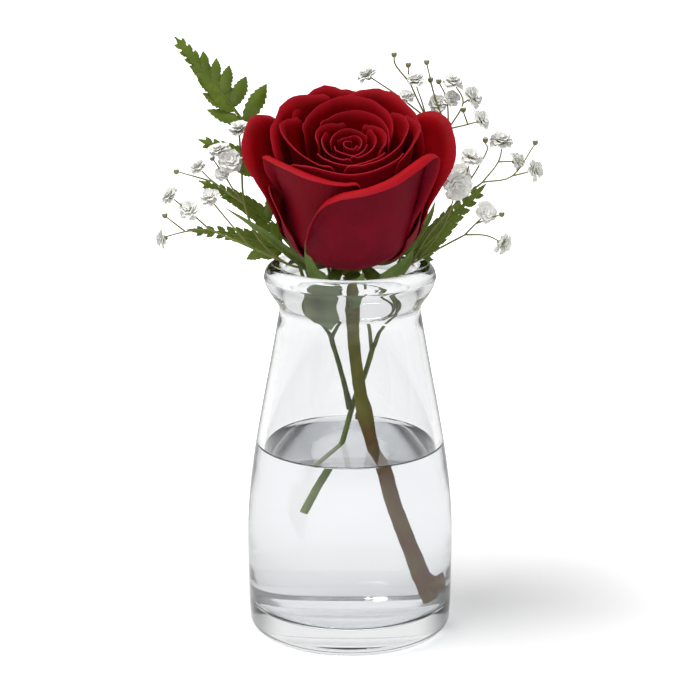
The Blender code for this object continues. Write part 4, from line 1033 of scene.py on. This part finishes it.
# Each spray: its stalks, its open flowers as (centre, facing, size) and its buds
SPRAYS = {
    "spray_right_upper": (
        [[(7, 9.4, 113), (16.5, 13.6, 127), (21.6, 13.4, 141), (28.6, 14, 160), (33.6, 11.4, 175)],
         [(28.6, 14, 160), (26, 14.4, 178.4), (22.2, 12.4, 190.6)],
         [(26, 14.4, 178.4), (20.6, 15.4, 190), (19.8, 14.4, 196)],
         [(20.6, 15.4, 190), (15.6, 16.4, 196), (15, 16.4, 199.4)],
         [(26, 14.4, 178.4), (16, 15.6, 186), (5.9, 14.3, 192.9)],
         [(33.6, 11.4, 175), (29.4, 12.6, 184), (26, 12.4, 197.2)],
         [(29.4, 12.6, 184), (27.4, 14.6, 190.6)],
         [(33.6, 11.4, 175), (33, 12.6, 184.6), (30.4, 14, 190.4)],
         [(33.6, 11.4, 175), (38.4, 10.4, 184), (35.4, 12, 190.4)],
         [(38.4, 10.4, 184), (41.6, 10.2, 186)],
         [(33.6, 11.4, 175), (40, 8.6, 177), (44.4, 6.8, 178.6)],
         [(40, 8.6, 177), (38.4, 8.4, 181.4)]],
        [((22, 12.2, 192.4), (-0.2, -0.3, 1), 3.1), ((5.2, 14.2, 194), (-0.6, -0.2, 1), 3.1),
         ((35, 12.2, 191.8), (0.1, -0.4, 1), 3.2), ((42.4, 9.8, 186.8), (0.6, -0.4, 0.6), 3.4),
         ((45.2, 6.2, 179.6), (0.7, -0.5, 0.6), 3.1), ((30.2, 14, 184), (0, -0.8, 0.6), 2.9),
         ((19, 15.6, 186), (-0.1, -0.6, 0.8), 2.4), ((34.6, 12.6, 185.6), (0.1, -0.8, 0.7), 2.6)],
        [(19.8, 14.4, 196.6), (15, 16.4, 199.8), (26, 12.4, 197.8), (27.4, 14.8, 191.4),
         (30.2, 14, 191), (38.4, 8.2, 182.2)]),
    "spray_right_middle": (
        [[(9.6, 5, 113.6), (20.9, 5.2, 129.4), (27, 6.6, 139.4), (36, 6, 150), (45, 3.6, 158)],
         [(36, 6, 150), (46, 6.6, 167), (46, 7.6, 171)],
         [(45, 3.6, 158), (50.4, 6, 164.6), (52, 8.4, 171)],
         [(50.4, 6, 164.6), (56, 4.6, 165)],
         [(45, 3.6, 158), (55, 2.6, 160.4), (62.6, 5.6, 170.6)],
         [(55, 2.6, 160.4), (62, 0.4, 162.6)],
         [(36, 6, 150), (39.4, 5.4, 160), (41, 4.4, 166)]],
        [((51.6, 8.2, 172.4), (0.1, -0.4, 1), 3.6), ((57.4, 4.2, 165.6), (0.8, -0.4, 0.4), 2.8),
         ((63.2, 0, 163.2), (0.8, -0.5, 0.3), 3.1), ((41.4, 4, 167.4), (0.2, -0.6, 0.8), 3.3),
         ((37.4, 6, 161), (0, -0.7, 0.7), 3.3)],
        [(46, 7.8, 171.8), (62.8, 5.8, 171.4)]),
    "spray_right_low": (
        [[(11, 1.6, 114), (16.6, 1.4, 126.4), (23.6, 1.8, 131.6), (39, -2, 141)],
         [(39, -2, 141), (46, -5, 141.4), (51.4, -7.6, 139.4)],
         [(39, -2, 141), (42.6, -2.6, 145), (46, -3.8, 148.6)],
         [(42.6, -2.6, 145), (50.4, -4.6, 148.4)],
         [(23.6, 1.8, 131.6), (32, 0.4, 144), (36, -3.4, 157.6)]],
        [((52.4, -8.2, 138.8), (0.8, -0.6, -0.2), 3.3), ((46.4, -4.2, 149.4), (0.2, -1, 0.4), 3.2),
         ((36.2, -5, 158), (0, -1, 0.1), 4)],
        [(51.2, -4.8, 148.8)]),
    "spray_left_upper": (
        [[(-4.4, 0.6, 113.6), (-9, 3.6, 126), (-21.5, 4.4, 129.4), (-31, 4, 138),
          (-36, 5.6, 150), (-37, 8.4, 163), (-37.8, 10, 174.6)],
         [(-36, 5.6, 150), (-41.6, 6.4, 158), (-44.6, 8, 167.6)],
         [(-37, 8.4, 163), (-39, 7.8, 164), (-40.4, 6.2, 165)],
         [(-36, 5.6, 150), (-46.6, 6.6, 157.6), (-51.4, 7.8, 162)],
         [(-46.6, 6.6, 157.6), (-58.6, 7, 161)],
         [(-41.6, 6.4, 158), (-46.6, 8.2, 165)]],
        [((-38, 10, 176), (-0.1, -0.4, 1), 3.4), ((-45, 8, 169), (-0.3, -0.4, 1), 3.2),
         ((-40.6, 5.8, 165.4), (0.1, -0.8, 0.5), 3.6), ((-52.2, 8, 163.2), (-0.5, -0.3, 0.8), 2.8),
         ((-43.6, 6.8, 160.6), (0.1, -0.8, 0.5), 2.2)],
        [(-59.2, 7, 161.2), (-47, 8.4, 165.6)]),
    "spray_left_low": (
        [[(-7.6, -2.6, 114), (-12.6, 0, 126.6), (-21.3, 0.4, 130.3), (-34, 1, 136), (-48, 2.4, 142)],
         [(-48, 2.4, 142), (-52, 2.8, 145.6), (-54.4, 3, 148)],
         [(-52, 2.8, 145.6), (-61, 3.8, 153)],
         [(-48, 2.4, 142), (-56, 1.2, 141.4), (-63.6, 0.2, 139.6)],
         [(-56, 1.2, 141.4), (-62.6, 2, 146.4)],
         [(-34, 1, 136), (-44, 3.6, 147.6), (-47.6, 4.8, 152)]],
        [((-55, 3, 149.2), (-0.3, -0.7, 0.6), 3.2), ((-62, 4, 154), (-0.6, -0.3, 0.7), 2.9),
         ((-64.8, 0, 139.2), (-1, -0.3, 0), 2.8), ((-48, 4.8, 153.2), (-0.2, -0.6, 0.8), 3)],
        [(-63, 2, 147)]),
}


MAIN_STALK = 0.42
SIDE_STALK = 0.28
BUD_RADIUS = 1.0
BLOSSOM_GROWTH = 1.12

# Each ring of petals: count, length as a share of the size, lean in degrees
BLOSSOM_RINGS = ((8, 1.15, 76), (7, 1.15, 52), (6, 1.1, 30), (4, 1.0, 10))


def add_blossom(bm, centre, facing, size, chance):
    """A double flower: four rings of small crinkled petals over a green calyx."""
    facing = Vector(facing).normalized()
    base = Vector(centre) - facing * size * 0.6
    turn = Vector((0, 0, 1)).rotation_difference(facing).to_matrix()
    for ring, (count, length, tilt) in enumerate(BLOSSOM_RINGS):
        for k in range(count):
            round_by = 2 * math.pi * (k + 0.4 * ring) / count + chance.uniform(-0.22, 0.22)
            lean = math.radians(tilt + chance.uniform(-10, 10))
            spin = turn @ Matrix.Rotation(round_by, 3, "Z")
            reach = size * length * chance.uniform(0.88, 1.1)
            out = spin @ Vector((math.sin(lean), 0, math.cos(lean)))
            curl = spin @ Vector((math.cos(lean), 0, -math.sin(lean)))
            path = [base + out * size * 0.15, base + out * reach * 0.6 - curl * size * 0.08,
                    base + out * reach + curl * size * 0.16]
            sweep_leaf(bm, path, size * 0.42, -curl, steps=2, columns=3, fullness=1.9, fold=-0.3,
                       thickness=0.12, base=0.45, material_index=0)
    sweep_stalk(bm, [base - facing * size * 0.3, base, base + facing * size * 0.42],
                [size * 0.12, size * 0.34, size * 0.36], sides=8, steps=3, material_index=1,
                across=Vector((0.6, 0.7, 0.1)))


def add_bud(bm, centre, size):
    """A round closed bud: olive calyx with the white petals just showing on top."""
    place = Matrix.Translation(Vector(centre)) @ Matrix.Diagonal((size, size, size * 1.2, 1.0))
    made = bmesh.ops.create_icosphere(bm, subdivisions=2, radius=1.0, matrix=place)
    faces = {face for vert in made["verts"] for face in vert.link_faces}
    for face in faces:
        top = face.calc_center_median().z > centre[2] + size * 0.62
        face.material_index = 0 if top else 2
        face.smooth = True


def make_sprays(settings):
    white = leaf_material("small white petals", settings.white, 0.6, 300.0,
                          darker(settings.white, 0.9))
    calyx = leaf_material("calyx green", settings.calyx, 0.55, 300.0, darker(settings.calyx, 0.7))
    bud = leaf_material("bud calyx", BUD_OLIVE, 0.55, 900.0, BUD_PALE)
    stalk = leaf_material("thin stalk", settings.stalk, 0.5, 200.0)
    chance = random.Random(7)
    for name, (stalks, blossoms, buds) in SPRAYS.items():
        bm = bmesh.new()
        for order, path in enumerate(stalks):
            thick = SIDE_STALK if order else MAIN_STALK
            sweep_stalk(bm, path, [thick * 1.15, thick, thick * 0.8], sides=7, steps=5, material_index=3,
                        across=Vector((0.8, 0.6, 0.1)))
        for centre, facing, size in blossoms:
            add_blossom(bm, centre, facing, size * BLOSSOM_GROWTH, chance)
        for centre in buds:
            add_bud(bm, centre, BUD_RADIUS)
        keep_piece("white_" + name, bm, [white, calyx, bud, stalk], [name])


# Stage

# Half the floor's width and the reach of its grey ramps, in metres
FLOOR_HALF = 6.0
FLOOR_SPAN = 0.3

# (place, grey) stops; the place is the distance from the vase's axis as a share of that reach
# Painted contact shade: the table's own colour turns nearly black in a ring just under the vase's foot,
# seen through the glass base
FLOOR_CONTACT_SHADE = ((0.0, 0.8), (0.07, 0.74), (0.088, 0.03), (0.102, 0.03), (0.107, 0.7), (0.13, 0.84))
GLOW_THROUGH_GLASS = ((0.0, 0.3), (0.07, 0.26), (0.09, 0.0), (0.13, 0.0), (0.3, 0.0), (1.0, 0.16))
GLOW_SEEN = ((0.0, 0.13), (0.3, 0.13), (0.9, 1.0))

# World strength for soft light, and the camera's own numbers
AMBIENT = 0.44
SENSOR_WIDTH = 36.0
CLIP_START = 0.01

# Name, place, aim, size, power, and whether glass and gloss show it
LAMPS = (("key lamp", (-0.38, -0.22, 1.36), (0, 0, 0.10), 0.6, 16.0, True),
         ("fill lamp", (0.3, -1.1, 0.6), (0, 0, 0.12), 0.7, 3.4, False))


def grey_ramp(tree, stops):
    """A smooth ramp through (place, grey) stops."""
    node = tree.nodes.new("ShaderNodeValToRGB")
    ramp = node.color_ramp
    ramp.interpolation = "EASE"
    for place, _ in stops[1:-1]:
        ramp.elements.new(place)
    for element, (place, grey) in zip(ramp.elements, stops):
        element.position = place
        element.color = (grey, grey, grey, 1.0)
    return node


def make_floor():
    """A white table top that stays white to the eye but keeps the soft shadow, with painted contact shade
    in a dark ring under the foot.
    """
    bm = bmesh.new()
    bmesh.ops.create_grid(bm, x_segments=1, y_segments=1, size=FLOOR_HALF)
    mesh = bpy.data.meshes.new("floor")
    bm.to_mesh(mesh)
    bm.free()
    floor = bpy.data.objects.new("floor", mesh)
    bpy.context.scene.collection.objects.link(floor)
    material, tree, shader = new_material("white table")
    shader.inputs["Roughness"].default_value = 0.9
    shader.inputs["Specular IOR Level"].default_value = 0.1
    path = tree.nodes.new("ShaderNodeLightPath")
    place = tree.nodes.new("ShaderNodeTexCoord")
    reach = add_node(tree, "ShaderNodeVectorMath", operation="LENGTH")
    spread = add_node(tree, "ShaderNodeMath", operation="DIVIDE")
    spread.inputs[1].default_value = FLOOR_SPAN
    # The first ramp paints contact shade into the table's colour under the foot
    contact_shade = grey_ramp(tree, FLOOR_CONTACT_SHADE)
    behind = grey_ramp(tree, GLOW_THROUGH_GLASS)
    plain = grey_ramp(tree, GLOW_SEEN)
    level = add_node(tree, "ShaderNodeMath", operation="MULTIPLY")
    part = add_node(tree, "ShaderNodeMath", operation="MULTIPLY_ADD")
    glow = tree.nodes.new("ShaderNodeEmission")
    total = tree.nodes.new("ShaderNodeAddShader")
    wire(tree, (place, "Object", reach, 0), (reach, "Value", spread, 0))
    for ramp in (contact_shade, behind, plain):
        wire(tree, (spread, 0, ramp, "Fac"))
    wire(tree, (contact_shade, "Color", shader, "Base Color"), (plain, "Color", level, 0),
         (path, "Is Camera Ray", level, 1), (behind, "Color", part, 0),
         (path, "Is Transmission Ray", part, 1), (level, 0, part, 2), (part, 0, glow, "Strength"),
         (shader, "BSDF", total, 0), (glow, "Emission", total, 1))
    tree.links.new(total.outputs["Shader"], tree.nodes["Material Output"].inputs["Surface"])
    mesh.materials.append(material)


def make_world():
    """Soft white studio; glass sees white behind and darker flags at the sides."""
    scene = bpy.context.scene
    world = bpy.data.worlds.new("studio")
    scene.world = world
    world.use_nodes = True
    tree = world.node_tree
    background = tree.nodes["Background"]
    path = tree.nodes.new("ShaderNodeLightPath")
    place = tree.nodes.new("ShaderNodeTexCoord")
    split = tree.nodes.new("ShaderNodeSeparateXYZ")
    sides = add_node(tree, "ShaderNodeMapRange", interpolation_type="SMOOTHSTEP")
    set_inputs(sides, {"From Min": 0.45, "From Max": 0.95, "To Min": 0.88, "To Max": 0.16})
    front = add_node(tree, "ShaderNodeMapRange", interpolation_type="SMOOTHSTEP")
    set_inputs(front, {"From Min": -0.2, "From Max": 0.3, "To Min": 0.32, "To Max": 1.0})
    size = add_node(tree, "ShaderNodeMath", operation="ABSOLUTE")
    studio = add_node(tree, "ShaderNodeMath", operation="MULTIPLY")
    seen = add_node(tree, "ShaderNodeMath", operation="MAXIMUM")
    both = add_node(tree, "ShaderNodeMix", data_type="FLOAT")
    both.inputs["A"].default_value = AMBIENT
    whole = add_node(tree, "ShaderNodeMix", data_type="FLOAT")
    whole.inputs["B"].default_value = 1.0
    wire(tree, (place, "Generated", split, "Vector"), (split, "X", size, 0),
         (size, 0, sides, "Value"), (split, "Y", front, "Value"), (sides, "Result", studio, 0),
         (front, "Result", studio, 1), (path, "Is Glossy Ray", seen, 0),
         (path, "Is Transmission Ray", seen, 1), (seen, 0, both, "Factor"), (studio, 0, both, "B"),
         (path, "Is Camera Ray", whole, "Factor"), (both, "Result", whole, "A"),
         (whole, "Result", background, "Strength"))
    background.inputs["Color"].default_value = (1.0, 1.0, 1.0, 1.0)


def add_lamp(name, place, aim, size, power, mirrored):
    data = bpy.data.lights.new(name, "AREA")
    data.shape = "DISK"
    data.size = size
    data.energy = power
    lamp = bpy.data.objects.new(name, data)
    lamp.location = place
    lamp.visible_glossy = mirrored
    lamp.visible_transmission = mirrored
    lamp.rotation_euler = (Vector(aim) - Vector(place)).to_track_quat("-Z", "Y").to_euler()
    bpy.context.scene.collection.objects.link(lamp)


def make_camera(settings):
    data = bpy.data.cameras.new("camera")
    data.sensor_width = SENSOR_WIDTH
    data.lens = settings.lens
    data.clip_start = CLIP_START
    camera = bpy.data.objects.new("camera", data)
    reach = settings.distance
    aim = Vector((0.0, 0.0, settings.aim))
    camera.location = aim + Vector((0.0, -reach * math.cos(settings.elevation),
                                    reach * math.sin(settings.elevation)))
    camera.rotation_euler = (aim - camera.location).to_track_quat("-Z", "Y").to_euler()
    bpy.context.scene.collection.objects.link(camera)
    bpy.context.scene.camera = camera


# Operators, panel and registration


class ROSEVASE_OT_vase(bpy.types.Operator):
    """Turn the glass bottle vase"""
    bl_idname = "rose_vase.vase"
    bl_label = "Bottle Vase"

    def execute(self, context):
        make_vase(context.scene.rose_vase_glass)
        return {"FINISHED"}


class ROSEVASE_OT_water(bpy.types.Operator):
    """Fill the vase with water"""
    bl_idname = "rose_vase.water"
    bl_label = "Water"

    def execute(self, context):
        make_water(context.scene.rose_vase_glass)
        return {"FINISHED"}


class ROSEVASE_OT_stem(bpy.types.Operator):
    """Grow the rose's stem and receptacle"""
    bl_idname = "rose_vase.stem"
    bl_label = "Rose Stem"

    def execute(self, context):
        make_rose_stem(context.scene.rose_vase_green)
        return {"FINISHED"}


class ROSEVASE_OT_petals(bpy.types.Operator):
    """Shape every petal of the rose"""
    bl_idname = "rose_vase.petals"
    bl_label = "Rose Petals"

    def execute(self, context):
        make_petals(context.scene.rose_vase_petal)
        return {"FINISHED"}


class ROSEVASE_OT_leaves(bpy.types.Operator):
    """Shape the sepals and the leaf pressed in the neck"""
    bl_idname = "rose_vase.leaves"
    bl_label = "Sepals and Leaf"

    def execute(self, context):
        make_sepals(context.scene.rose_vase_green)
        make_neck_leaf()
        return {"FINISHED"}


class ROSEVASE_OT_fern(bpy.types.Operator):
    """Grow the fern fronds and their stalks"""
    bl_idname = "rose_vase.fern"
    bl_label = "Fern"

    def execute(self, context):
        make_fern(context.scene.rose_vase_green)
        return {"FINISHED"}


class ROSEVASE_OT_sprays(bpy.types.Operator):
    """Grow the white filler flowers"""
    bl_idname = "rose_vase.sprays"
    bl_label = "White Sprays"

    def execute(self, context):
        make_sprays(context.scene.rose_vase_spray)
        return {"FINISHED"}


class ROSEVASE_OT_stage(bpy.types.Operator):
    """Set the floor, the light and the camera"""
    bl_idname = "rose_vase.stage"
    bl_label = "Stage"

    def execute(self, context):
        make_floor()
        make_world()
        for lamp in LAMPS:
            add_lamp(*lamp)
        make_camera(context.scene.rose_vase_stage)
        context.scene.view_settings.view_transform = "Standard"
        return {"FINISHED"}


OPERATORS = (ROSEVASE_OT_vase, ROSEVASE_OT_water, ROSEVASE_OT_stem, ROSEVASE_OT_petals,
             ROSEVASE_OT_leaves, ROSEVASE_OT_fern, ROSEVASE_OT_sprays, ROSEVASE_OT_stage)


class ROSEVASE_PT_panel(bpy.types.Panel):
    """Lists the pieces of the rose vase"""
    bl_idname = "ROSEVASE_PT_panel"
    bl_label = "Rose Vase"
    bl_space_type = "VIEW_3D"
    bl_region_type = "UI"
    bl_category = "Rose Vase"

    def draw(self, context):
        for name in SETTINGS:
            box = self.layout.box()
            settings = getattr(context.scene, name)
            for key in settings.__annotations__:
                box.prop(settings, key)
        for operator in OPERATORS:
            self.layout.operator(operator.bl_idname)


def register():
    for name, group in SETTINGS.items():
        bpy.utils.register_class(group)
        setattr(bpy.types.Scene, name, PointerProperty(type=group))
    for operator in OPERATORS:
        bpy.utils.register_class(operator)
    bpy.utils.register_class(ROSEVASE_PT_panel)


def unregister():
    bpy.utils.unregister_class(ROSEVASE_PT_panel)
    for operator in reversed(OPERATORS):
        bpy.utils.unregister_class(operator)
    for name, group in SETTINGS.items():
        delattr(bpy.types.Scene, name)
        bpy.utils.unregister_class(group)


def main():
    register()
    bpy.ops.rose_vase.vase()
    bpy.ops.rose_vase.water()
    bpy.ops.rose_vase.stem()
    bpy.ops.rose_vase.petals()
    bpy.ops.rose_vase.leaves()
    bpy.ops.rose_vase.fern()
    bpy.ops.rose_vase.sprays()
    bpy.ops.rose_vase.stage()


if __name__ == "__main__":
    main()
